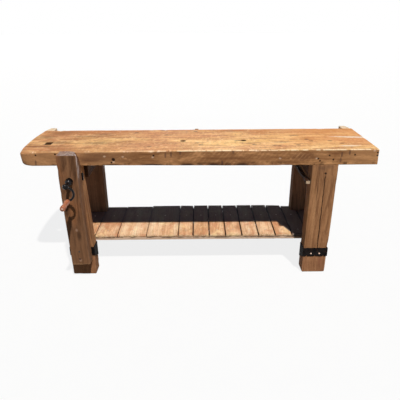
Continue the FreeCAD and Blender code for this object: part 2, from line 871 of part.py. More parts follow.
def guide_pin():
    """The loose pin of the parallel guide, with a round knob."""
    long = "guide_wide + pin_over + pin_reach"
    corner = (f"{JAW_X} - guide_wide / 2 - pin_over", PIN_BACK, f"{GUIDE_LOW} + guide_high / 2")
    piece = Piece("guide_pin", corner)
    piece.add(piece.rod(corner, "X", "pin_radius", long))
    piece.add(piece.ball((f"{corner[0]} + {long}", corner[1], corner[2]), "pin_knob_radius"))
    piece.done()


# Screw and nut


def thread(piece, start, long, play):
    """A ridge wound round the screw's axis, swelled by so much play."""
    spine = doc.addObject("Part::Helix", f"{piece.name}_helix")
    bind(spine, Pitch="thread_pitch", Height=long, Radius="root_radius")
    spine.Style = 1
    section = doc.addObject("Sketcher::SketchObject", f"{piece.name}_section")
    section.Placement.Rotation = FORWARDS
    root, crest = f"thread_root_half + {play}", f"thread_crest_half + {play}"
    inner, outer = "root_radius - thread_bite", f"thread_radius + {play}"
    draw(section, [(inner, f"-({root})"), (outer, f"-({crest})"), (outer, crest), (inner, root)])
    ridge = doc.addObject("Part::Sweep", f"{piece.name}_thread")
    ridge.Sections = [section]
    ridge.Spine = (spine, ["Edge1"])
    ridge.Solid = True
    ridge.Frenet = True
    ridge.Placement.Rotation = ALONG["Y"]
    piece.put_in(ridge, (SCREW_X, start, SCREW_Z))
    return ridge


def vise_screw():
    """The screw: thread, plain shank through the jaw, collar with a ball, and neck."""
    x, z = SCREW_X, SCREW_Z
    neck_front = f"{CRANK_PLANE} + crank_socket"
    ball_middle = f"{JAW_FRONT} - collar_ball_out"
    disc_front = f"{JAW_FRONT} - collar_gap - collar_thick"
    piece = Piece("vise_screw", (x, neck_front, z))
    piece.add(
        piece.rod((x, neck_front, z), "Y", "neck_radius", f"{ball_middle} - ({neck_front})"),
        piece.ball((x, ball_middle, z), "collar_ball"),
        piece.rod((x, disc_front, z), "Y", "collar_radius", "collar_thick"),
        piece.rod((x, ball_middle, z), "Y", "thread_radius", f"{JAW_BACK} - ({ball_middle})"),
        piece.rod((x, ball_middle, z), "Y", "root_radius", f"{SCREW_BACK} - ({ball_middle})"),
        thread(piece, "thread_lead", f"{SCREW_BACK} - 2 * thread_lead", "0"),
    )
    piece.done()


def screw_nut():
    """The nut: a plate let flush into the leg, and a threaded barrel behind it."""
    corner = (f"{SCREW_X} - plate_wide / 2", "0", PLATE_LOW)
    axis = (SCREW_X, "0", SCREW_Z)
    bore = (SCREW_X, "-overrun", SCREW_Z)
    piece = Piece("screw_nut", corner)
    plate = piece.box(corner, ("plate_wide", "plate_thick", "plate_high"))
    barrel = piece.rod(axis, "Y", "nut_radius", "nut_long")
    # The groove is cut before the bore
    grooved = doc.addObject("Part::Cut", "screw_nut_grooved")
    grooved.Base = piece.joined([plate, barrel], "blank")
    grooved.Tool = thread(
        piece, "thread_lead - thread_pitch", "nut_long + 2 * thread_pitch", "thread_clearance"
    )
    piece.add(grooved)
    piece.cut(
        piece.rod(bore, "Y", "root_radius + thread_clearance", "nut_long + 2 * overrun"),
        *[plate_screw(piece, step, "seat") for step in (-1, 1)],
    )
    piece.done()


def plate_screw(piece, step, play):
    """A countersunk screw through the nut's plate, with so much play round it."""
    at = (f"{SCREW_X} + {step} * plate_screw_pitch / 2", "0", f"{PLATE_LOW} + plate_high / 2")
    outer = f"plate_head_radius + {play}"
    inner = f"plate_screw_radius + {play}"
    head = piece.cone(at, "Y", outer, inner, "plate_head_depth")
    shank = piece.rod(at, "Y", inner, f"plate_screw_long + {play}")
    return piece.joined([head, shank], "screw")


def nut_screws():
    piece = Piece("nut_screws", ("0", "0", "0"))
    piece.add(*[plate_screw(piece, step, "0") for step in (-1, 1)])
    piece.group()


# Crank and grip


def crank():
    """A ball on the screw's neck, an arm bent out to the right and an eye at its end."""
    corner = (SCREW_X, CRANK_PLANE, SCREW_Z)
    x, y, z = corner
    piece = Piece("crank", corner)
    eye = (x, f"{y} - arm_radius", f"{z} - crank_throw")
    piece.add(piece.ball(corner, "crank_ball"), bent_arm())
    piece.add(piece.rod(eye, "Y", "eye_radius", "2 * arm_radius"))
    piece.cut(
        piece.rod((x, f"{y} + crank_socket", z), "Y", "neck_radius + seat", "crank_ball"),
        piece.rod(
            (x, f"{y} - arm_radius - overrun", f"{z} - crank_throw"),
            "Y",
            "spindle_radius + seat",
            "2 * arm_radius + 2 * overrun",
        ),
    )
    hung = piece.done()
    hung.Placement.Rotation = FreeCAD.Rotation(FreeCAD.Vector(0, -1, 0), SIZES["crank_lean"])
    hung.setExpression("Placement.Rotation.Angle", formula("crank_lean"))


def bent_arm():
    """The arm: a round bar bent to an arc in the crank's plane."""
    section = doc.addObject("Part::Circle", "crank_arm_section")
    bind(section, Radius="arm_radius")
    put(section, "crank_bulge", "0", "-crank_throw / 2")
    arm = doc.addObject("Part::Revolution", "crank_arm")
    arm.Source = section
    arm.Axis = FreeCAD.Vector(0, 1, 0)
    arm.Symmetric = True
    arm.Solid = True
    arm.setExpression("Base.x", formula(f"crank_bulge - {ARC_RADIUS}"))
    arm.setExpression("Base.z", formula("-crank_throw / 2"))
    bind(arm, Angle=f"2 * asin(crank_throw / (2 * ({ARC_RADIUS})))")
    return arm


def grip_spindle():
    """The pin that the grip turns on, riveted over at its outer end."""
    corner = (GRIP_X, GRIP_FRONT, GRIP_Z)
    piece = Piece("grip_spindle", corner)
    rivet = piece.ball(corner, "rivet_radius")
    rivet.Angle1 = 0
    piece.add(rivet, piece.rod(corner, "Y", "spindle_radius", "grip_long + grip_gap + arm_radius"))
    piece.done()


def crank_grip():
    """The grip: two lobes turned on one piece of wood, bored for its pin."""
    long = "(grip_long - grip_play)"
    corner = (GRIP_X, f"{GRIP_FRONT} + grip_play", GRIP_Z)
    x, y, z = corner
    piece = Piece("crank_grip", corner)
    rings = []
    for quarter in range(5):
        at = (x, f"{y} + {quarter} * {long} / 4", z)
        radius = "grip_lobe_radius" if quarter % 2 else "grip_waist_radius"
        rings.append(piece.primitive("Circle", at, ALONG["Y"], Radius=radius))
    lobes = doc.addObject("Part::Loft", "crank_grip_lobes")
    lobes.Sections = rings
    lobes.Solid = True
    piece.add(lobes)
    bore = (x, f"{y} - overrun", z)
    piece.cut(piece.rod(bore, "Y", "spindle_radius + spindle_fit", f"{long} + 2 * overrun"))
    piece.done()


bench_top()
for row in ROWS:
    for side in SIDES:
        leg(side, row)
        foot(side, row)
        strap(side, row)
strap_nails()
for side in SIDES:
    side_rail(
        "side_stretcher",
        side,
        STRETCHER_INNER,
        STRETCHER_THICK,
        STRETCHER_LOW,
        "stretcher_high",
        stretcher_tenon,
    )
    side_rail("side_rail", side, RAIL_INNER, RAIL_THICK, RAIL_LOW, "rail_high", rail_tenon)
    tray_end(side)
for row in ROWS:
    ledger(row)
for number in range(BOARDS):
    shelf_board(number)
shelf_nails()
drawer_runner()
runner_screws()
tray_boards()
vise_jaw()
jaw_nails()
guide_bar()
guide_pin()
vise_screw()
screw_nut()
nut_screws()
crank()
grip_spindle()
crank_grip()
doc.recompute()

for thing in doc.Objects:
    if "Invalid" in thing.State or "Error" in thing.State:
        raise RuntimeError(f"{thing.Name} did not build: {thing.State}")
for piece in pieces:
    if piece.Shape.isNull() or not piece.Shape.isValid():
        raise RuntimeError(f"{piece.Label} has no sound shape")

os.makedirs("parts", exist_ok=True)
for piece in pieces:
    piece.Shape.exportStep(f"parts/{piece.Label}.step")
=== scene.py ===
"""The looks of the carpenter's workbench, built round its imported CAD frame.

Each timber is a worn mesh of its own that stands for its CAD node, within millimetres of its
faces. The iron keeps its CAD shape. All materials are procedural and follow the timber's grain.
"""

import math

import bpy
import numpy as np
from mathutils import Matrix, Vector


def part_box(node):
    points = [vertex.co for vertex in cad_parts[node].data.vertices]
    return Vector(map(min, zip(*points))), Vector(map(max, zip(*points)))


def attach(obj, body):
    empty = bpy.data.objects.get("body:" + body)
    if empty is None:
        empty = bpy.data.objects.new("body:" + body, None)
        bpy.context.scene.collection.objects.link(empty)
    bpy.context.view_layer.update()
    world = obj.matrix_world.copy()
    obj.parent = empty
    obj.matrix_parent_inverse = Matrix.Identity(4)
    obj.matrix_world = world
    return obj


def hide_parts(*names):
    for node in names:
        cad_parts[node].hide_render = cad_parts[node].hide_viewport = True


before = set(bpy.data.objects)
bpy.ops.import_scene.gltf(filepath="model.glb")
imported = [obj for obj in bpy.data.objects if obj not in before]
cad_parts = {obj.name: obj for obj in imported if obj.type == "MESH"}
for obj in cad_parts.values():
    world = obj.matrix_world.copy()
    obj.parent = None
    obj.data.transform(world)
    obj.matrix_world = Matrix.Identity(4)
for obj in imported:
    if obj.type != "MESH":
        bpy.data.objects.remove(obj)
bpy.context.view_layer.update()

SIDES = ("left", "right")
ROWS = ("front", "rear")

# Places taken from the frame, in metres
SLAB_FRONT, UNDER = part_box("bench_top")[0].yz
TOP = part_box("bench_top")[1].z
SHELF_FRONT, BOARD_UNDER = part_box("shelf_board_01")[0].yz
GUIDE, SCREW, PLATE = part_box("guide_bar"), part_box("vise_screw"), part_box("screw_nut")
SCREW_X, SCREW_Z = (SCREW[0].x + SCREW[1].x) / 2, (SCREW[0].z + SCREW[1].z) / 2

# Places that repeat the CAD model's own sizes
SLAB_BACK = SLAB_FRONT + 0.516
HOLDFASTS, HOLDFAST_BACK, HOLDFAST_RADIUS = (-0.096, 0.292), 0.228, 0.017
STOP_X, STOP_BACK = (-0.968, -0.924), (0.156, 0.224)
FOOT_TOP = 0.175
BOW_APEX, BOW_DEPTH = 0.3, 0.02
JAW_X, JAW_BACK = -0.76, -0.148

# Mesh step, the cutters' overshoot and how far the boards' sides meet
STEP, OVER, MEET = 0.024, 0.01, 0.0012

# Boards 4 to 12 reach a little further back, and the rays that see the white studio
LONG_BOARDS = range(3, 12)
SEEN_BY = ("Is Camera Ray", "Is Glossy Ray", "Is Transmission Ray")
CUTTERS = []


# Noise and worn shapes


def noise(points, size, seed):
    """Smooth value noise from -1 to 1."""
    q = points / size + seed * 7.31
    cell = np.floor(q).astype(np.int64)
    f = q - cell
    f = f * f * (3 - 2 * f)
    total = np.zeros(len(points))
    for corner in range(8):
        bits = np.array([corner & 1, corner >> 1 & 1, corner >> 2 & 1])
        i = cell + bits
        h = (i[:, 0] * 73856093) ^ (i[:, 1] * 19349663) ^ (i[:, 2] * 83492791) ^ (seed * 97531)
        h = ((h ^ (h >> 13)) * 1274126177) & 0x7FFFFFFF
        h = ((h ^ (h >> 15)) * 374761393) & 0x7FFFFFFF
        value = ((h ^ (h >> 16)) & 0xFFFFFF) / 0x7FFFFF - 1
        total += value * np.prod(np.where(bits, f, 1 - f), axis=1)
    return total


def rise(value, start, span):
    """0 up to start, 1 from span beyond it, straight between; a negative span runs downwards."""
    return np.clip((value - start) / span, 0, 1)


def marks_along(low, high, radius):
    """Places along one edge of a timber: close at its ends, STEP apart between."""
    ends = radius * np.array([0, 0.3, 0.65, 1, 1.6, 2.5, 4])
    ends = ends[ends < (high - low) / 2 * 0.95]
    first, last = low + ends, high - ends[::-1]
    count = max(1, round((last[0] - first[-1]) / STEP))
    between = np.linspace(first[-1], last[0], count + 1)
    return np.concatenate([first, between[1:-1], last])


def shell(axes):
    """The points and the quads of a box's surface, from the places along its three edges."""
    n = [len(a) for a in axes]
    grid = np.stack(np.meshgrid(*axes, indexing="ij"), -1)
    on = np.zeros(n, bool)
    for axis in range(3):
        for end in (0, -1):
            cut = [slice(None)] * 3
            cut[axis] = end
            on[tuple(cut)] = True
    index = np.full(n, -1)
    index[on] = np.arange(on.sum())
    quads = []
    for axis in range(3):
        for end in (0, n[axis] - 1):
            face = np.take(index, end, axis=axis)
            four = np.stack([face[:-1, :-1], face[1:, :-1], face[1:, 1:], face[:-1, 1:]], -1)
            four = four.reshape(-1, 4)
            outward = (end > 0) != (axis == 1)
            quads.append(four if outward else four[:, ::-1])
    return grid[on], np.concatenate(quads)


def worn(low, high, radius, seed, rough, chips, arris=None, dents=None):
    """A box's points with soft uneven arrises, a rough skin and chips, never outside the box."""
    axes = [marks_along(low[i], high[i], radius) for i in range(3)]
    points, quads = shell(axes)
    near = np.sort(np.minimum(points - low, high - points), axis=1)
    r = radius * (1 + 0.55 * noise(points, 0.11, seed))
    if arris is not None:
        r = arris(points, r)
    r = np.minimum(r, (high - low).min() * 0.45)[:, None]
    core = np.clip(points, low + r, high - r)
    out = points - core
    normal = out / np.maximum(np.linalg.norm(out, axis=1), 1e-9)[:, None]
    moved = core + normal * r
    deep = rough * (0.62 + 0.38 * noise(points, 0.16, seed + 1))
    deep += rough * 0.35 * (1 + noise(points, 0.035, seed + 2)) / 2
    bite = np.clip(noise(points, 0.03, seed + 3) + 0.4 * noise(points, 0.012, seed + 4) - 0.42, 0, 1)
    deep += chips * bite * np.exp(-near[:, 1] / 0.012)
    if dents is not None:
        deep += dents(points)
    return moved - normal * deep[:, None], quads


def mesh_piece(name, points, quads, cuts):
    """A mesh in the scene, with blocks and bars cut out of it."""
    mesh = bpy.data.meshes.new(name)
    mesh.from_pydata(points.tolist(), [], quads.tolist())
    mesh.update()
    piece = bpy.data.objects.new(name, mesh)
    bpy.context.scene.collection.objects.link(piece)
    for block in cuts:
        modifier = piece.modifiers.new("cut", "BOOLEAN")
        modifier.operation, modifier.solver, modifier.object = "DIFFERENCE", "EXACT", block
    if cuts:
        bpy.context.view_layer.update()
        depsgraph = bpy.context.evaluated_depsgraph_get()
        mesh = bpy.data.meshes.new_from_object(piece.evaluated_get(depsgraph))
        mesh.name = name
        piece.modifiers.clear()
        piece.data = mesh
    return piece


def mark_edges(mesh, low, high):
    """Keep each point's nearness to the box's nearest arris, which the wood's wear follows."""
    place = np.zeros(len(mesh.vertices) * 3)
    mesh.vertices.foreach_get("co", place)
    place = place.reshape(-1, 3)
    near = np.sort(np.abs(np.minimum(place - low, high - place)), axis=1)[:, 1]
    wear = mesh.attributes.new("edge", "FLOAT", "POINT")
    wear.data.foreach_set("value", np.exp(-near / 0.006).astype(np.float32))
    mesh.shade_smooth()
    mesh.set_sharp_from_angle(angle=math.radians(38))


def cutter(low, high, flare=0.0, bar=None):
    """A block to cut with, or a round bar along one axis; flare widens its top end."""
    low, high = np.array(low, float), np.array(high, float)
    turn = {None: (0, 1, 2), "Z": (0, 1, 2), "Y": (2, 0, 1), "X": (1, 2, 0)}[bar]
    low, high = low[list(turn)], high[list(turn)]
    middle, half = (low + high) / 2, (high - low) / 2
    rings = [(low[2], 0.0)]
    if flare:
        rings += [(high[2] - 3.2 * flare, 0.0), (high[2] - 1.4 * flare, 0.35 * flare)]
    rings.append((high[2], flare))
    if bar:
        around = [(math.cos(a), math.sin(a)) for a in np.linspace(0, math.tau, 48, endpoint=False)]
    else:
        around = [(-1, -1), (1, -1), (1, 1), (-1, 1)]
    points = [
        (middle[0] + u * (half[0] + more), middle[1] + v * (half[1] + more), w)
        for w, more in rings for u, v in around
    ]
    points = np.array(points)[:, np.argsort(turn)]
    n = len(around)
    faces = [tuple(reversed(range(n))), tuple(range(n * (len(rings) - 1), n * len(rings)))]
    for ring in range(len(rings) - 1):
        for i in range(n):
            j = (i + 1) % n
            faces.append((ring * n + i, ring * n + j, (ring + 1) * n + j, (ring + 1) * n + i))
    mesh = bpy.data.meshes.new("cutter")
    mesh.from_pydata(points.tolist(), [], faces)
    block = bpy.data.objects.new("cutter", mesh)
    bpy.context.scene.collection.objects.link(block)
    CUTTERS.append(block)
    return block


# Materials


def tone(red, green, blue):
    """A colour as it is read off a screen, 0 to 255, as the light it stands for."""
    def light(value):
        value /= 255
        return value / 12.92 if value <= 0.04045 else ((value + 0.055) / 1.055) ** 2.4

    return tuple(light(c) for c in (red, green, blue)) + (1.0,)


def darker(colour, share):
    """A share of a colour's light."""
    return tuple(c * share for c in colour[:3]) + (1.0,)


class Finish:
    """A material and short ways to add nodes to it."""

    def __init__(self, name):
        self.material = bpy.data.materials.new(name)
        self.material.use_nodes = True
        self.tree = self.material.node_tree
        self.tree.nodes.clear()
        self.out = self.add("ShaderNodeOutputMaterial")
        self.shader = self.add("ShaderNodeBsdfPrincipled")
        self.tree.links.new(self.shader.outputs[0], self.out.inputs["Surface"])
        self.place = self.add("ShaderNodeTexCoord")

    def add(self, kind, inputs=None, **options):
        node = self.tree.nodes.new(kind)
        for key, value in options.items():
            setattr(node, key, value)
        for key, value in (inputs or {}).items():
            if isinstance(value, bpy.types.NodeSocket):
                self.tree.links.new(value, node.inputs[key])
            else:
                node.inputs[key].default_value = value
        return node

    def maths(self, operation, first, second=0.0):
        return self.add("ShaderNodeMath", {0: first, 1: second}, operation=operation).outputs[0]

    def fold(self, operation, values):
        """Several values joined in turn by one operation."""
        found, *others = values
        for value in others:
            found = self.maths(operation, found, value)
        return found

    def times(self, *values):
        return self.fold("MULTIPLY", values)

    def plus(self, *values):
        return self.fold("ADD", values)

    def most(self, *values):
        return self.fold("MAXIMUM", values)

    def minus(self, first, second):
        return self.maths("SUBTRACT", first, second)

    def range(self, value, low, high, start=0.0, end=1.0):
        inputs = {"Value": value, "From Min": low, "From Max": high, "To Min": start, "To Max": end}
        return self.add("ShaderNodeMapRange", inputs, interpolation_type="SMOOTHSTEP").outputs[0]

    def mix(self, share, first, second):
        """A share of the second colour in the first; 6 and 7 are the node's two colour sockets."""
        inputs = {0: share, 6: first, 7: second}
        return self.add("ShaderNodeMix", inputs, data_type="RGBA").outputs[2]

    def scaled(self, vector, by, offset=(0, 0, 0)):
        inputs = {0: vector, 1: by, 2: offset}
        return self.add("ShaderNodeVectorMath", inputs, operation="MULTIPLY_ADD").outputs[0]

    def speckle(self, vector, scale, detail=3.0, rough=0.55, twist=0.0):
        inputs = {"Vector": vector, "Scale": scale, "Detail": detail, "Roughness": rough, "Distortion": twist}
        return self.add("ShaderNodeTexNoise", inputs).outputs[0]

    def drawn(self, by, detail, rough=0.7, twist=0.0, offset=(0, 0, 0)):
        """Noise over the object's own place, closer along an axis with a larger factor."""
        return self.speckle(self.scaled(self.x, by, offset), 1.0, detail, rough, twist)

    def ramp(self, value, stops):
        node = self.add("ShaderNodeValToRGB", {0: value})
        band = node.color_ramp
        for i, (at, colour) in enumerate(stops):
            stop = band.elements[i] if i < 2 else band.elements.new(at)
            stop.position, stop.color = at, colour
        return node.outputs[0]

    def finished(self, colour, rough, height, strength, distance, shine=0.5, metallic=0.0):
        """The material with its colour, its roughness and its relief."""
        inputs = {"Strength": strength, "Distance": distance, "Height": height}
        relief = self.add("ShaderNodeBump", inputs).outputs[0]
        for value, socket in ((colour, "Base Color"), (rough, "Roughness"), (relief, "Normal")):
            self.tree.links.new(value, self.shader.inputs[socket])
        self.shader.inputs["Specular IOR Level"].default_value = shine
        self.shader.inputs["Metallic"].default_value = metallic
        return self.material

    def axes(self, vector):
        return self.add("ShaderNodeSeparateXYZ", {0: vector}).outputs

    def vector(self, x, y, z):
        return self.add("ShaderNodeCombineXYZ", {0: x, 1: y, 2: z}).outputs[0]

    def spot(self, centre, size, softness=0.35):
        """1 inside an ellipsoid about a place, 0 outside it."""
        by = tuple(1 / s for s in size)
        offset = tuple(-c / s for c, s in zip(centre, size))
        away = self.add("ShaderNodeVectorMath", {0: self.scaled(self.shaken, by, offset)}, operation="LENGTH")
        return self.range(away.outputs["Value"], 1 - softness, 1 + softness, 1.0, 0.0)

    def spots(self, centres, size, softness=0.35):
        return self.most(*[self.spot(centre, size, softness) for centre in centres])

    def top_spots(self, places, size, softness=0.35):
        """Spots on the slab's top, placed from the bench's middle and the slab's front."""
        return self.spots([(x, SLAB_FRONT + y, TOP) for x, y in places], size, softness)

    def front_spots(self, places, size, softness=0.35):
        """Spots on the front, placed from the bench's middle and the floor."""
        return self.spots([(x, SLAB_FRONT, z) for x, z in places], size, softness)

    def streaked(self, colour, by, dark, light, shares=(0.5, 0.4), starts=(0.36, 0.52)):
        """Dark and pale streaks along the grain."""
        streaks, wide = self.drawn(by, 5.0), 0.14
        low = self.range(streaks, starts[0], starts[0] + wide, shares[0], 0.0)
        high = self.range(streaks, starts[1], starts[1] + wide, 0.0, shares[1])
        return self.mix(high, self.mix(low, colour, tone(*dark)), tone(*light))


AXES = {"X": (0, 1, 2), "Y": (1, 0, 2), "Z": (2, 0, 1)}


def timber(name, grain, tones, seed, *, pith, ring=0.007, ring_share=0.35, blotch=0.3, wear=None,
           wear_share=0.6, ends=None, dark_pores=0.5, bump=1.0, marks=None):
    """Old timber with its grain along one axis: rings, fibres, pores, blotches and worn arrises."""
    f = Finish(name)
    x = f.x = f.place.outputs["Object"]
    parts = f.axes(x)
    along, across, deep = (parts[i] for i in AXES[grain])
    shake = f.add("ShaderNodeTexNoise", {"Vector": x, "Scale": 30.0, "Detail": 2.0})
    reach = 0.003
    centred = f.scaled(x, (1, 1, 1), (-reach,) * 3)
    f.shaken = f.scaled(shake.outputs["Color"], (2 * reach,) * 3, centred)
    wave = f.speckle(f.vector(f.times(along, 1.6), f.times(across, 9.0),
                              f.plus(f.times(deep, 9.0), seed * 1.7)), 1.0, 2.0)
    bend = f.times(f.minus(wave, 0.5), 0.05)
    a = f.plus(f.minus(across, pith[0]), bend)
    d = f.plus(f.minus(deep, pith[1]), f.times(along, 0.045))
    radius = f.maths("SQRT", f.plus(f.times(a, a), f.times(d, d)))
    rings = f.maths("FRACT", f.maths("DIVIDE", radius, ring))
    rings = f.times(f.range(rings, 0.45, 0.93), f.range(rings, 0.93, 1.0, 1.0, 0.0))

    def stretched(by_length, by_width, detail, shift):
        v = f.vector(f.times(along, by_length), f.plus(f.times(across, by_width), bend),
                     f.plus(f.times(deep, by_width), seed * 3.1 + shift))
        return f.speckle(v, 1.0, detail, 0.6)

    streaks = stretched(0.9, 22.0, 4.0, 0.0)
    fibres = stretched(5.0, 260.0, 3.0, 4.0)
    pores = stretched(22.0, 420.0, 2.0, 9.0)
    patches = f.speckle(f.scaled(x, (1, 1, 1), (seed * 0.37, seed * 0.53, 0)), 3.6, 4.0, 0.6, 0.4)
    fine = f.speckle(x, 60.0, 4.0, 0.65)

    dark, middle, light = (tone(*c) for c in tones)
    grade = f.plus(f.times(streaks, 0.62), f.times(fibres, 0.38))
    colour = f.ramp(grade, [(0.33, dark), (0.5, middle), (0.68, light)])
    shade = darker(dark, 0.62)
    colour = f.mix(f.times(rings, ring_share), colour, shade)
    colour = f.mix(f.range(patches, 0.36, 0.62, blotch, 0.0), colour, dark)
    colour = f.mix(f.range(patches, 0.52, 0.74, 0.0, blotch * 0.9), colour, light)
    colour = f.mix(f.range(fine, 0.3, 0.7, 0.16, 0.0), colour, shade)
    pit = f.range(pores, 0.30, 0.38, dark_pores, 0.0)
    colour = f.mix(pit, colour, darker(dark, 0.35))
    edge = f.add("ShaderNodeAttribute", attribute_name="edge").outputs["Fac"]
    rub = f.times(edge, f.range(patches, 0.38, 0.6, 0.25, 1.0), f.range(fine, 0.3, 0.55, 0.3, 1.0))
    if wear:
        colour = f.mix(f.times(rub, wear_share), colour, tone(*wear))
    f.normal = f.axes(f.place.outputs["Normal"])
    end = f.range(f.maths("ABSOLUTE", f.normal[AXES[grain][0]]), 0.62, 0.85)
    cells = {"Vector": f.vector(0.0, across, f.times(deep, 3.2)), "Scale": 26.0}
    checks = f.add("ShaderNodeTexVoronoi", cells, feature="DISTANCE_TO_EDGE").outputs["Distance"]
    split = f.times(f.range(checks, 0.01, 0.05, 1.0, 0.0), f.range(patches, 0.45, 0.55))
    end_dark, end_light = (tone(*c) for c in ends or tones[:2])
    end_face = f.mix(f.range(fine, 0.35, 0.68), end_dark, end_light)
    end_face = f.mix(f.times(rings, 0.5), end_face, darker(end_dark, 0.6))
    end_face = f.mix(f.times(split, 0.7), end_face, darker(end_dark, 0.3))
    colour = f.mix(end, colour, end_face)
    f.patches, f.fine, f.fibres, f.edge, f.end, f.pit = patches, fine, fibres, edge, end, pit
    if marks:
        colour = marks(f, colour)
    height = f.plus(f.times(fibres, 0.9), f.times(fine, 0.8))
    height = f.minus(height, f.times(rings, 0.25))
    height = f.minus(height, f.times(f.pit, 0.9))
    height = f.minus(height, f.times(split, end, 1.5))
    return f.finished(colour, f.range(fine, 0.3, 0.7, 0.62, 0.86), height, 0.55, 0.0016 * bump, 0.1)


def iron(name, dark, light, rough, rust=None, rust_share=0.3, metallic=0.35, shine=0.2):
    """Old iron: a dark skin, rubbed lighter on patches, pitted."""
    f, dark = Finish(name), tone(*dark)
    x = f.place.outputs["Object"]
    patches = f.speckle(x, 28.0, 5.0, 0.65, 0.5)
    pits = f.speckle(x, 420.0, 4.0, 0.6)
    colour = f.mix(f.range(patches, 0.42, 0.68), dark, tone(*light))
    colour = f.mix(f.range(pits, 0.3, 0.5, 0.5, 0.0), colour, darker(dark, 0.5))
    if rust:
        rusty = f.times(f.range(f.speckle(x, 75.0, 5.0, 0.7), 0.5, 0.64), rust_share)
        colour = f.mix(rusty, colour, tone(*rust))
    height = f.plus(f.times(patches, 1.2), f.times(pits, 0.6))
    skin = f.range(pits, 0.3, 0.7, rough - 0.1, rough + 0.15)
    return f.finished(colour, skin, height, 0.5, 0.0012, shine, metallic)


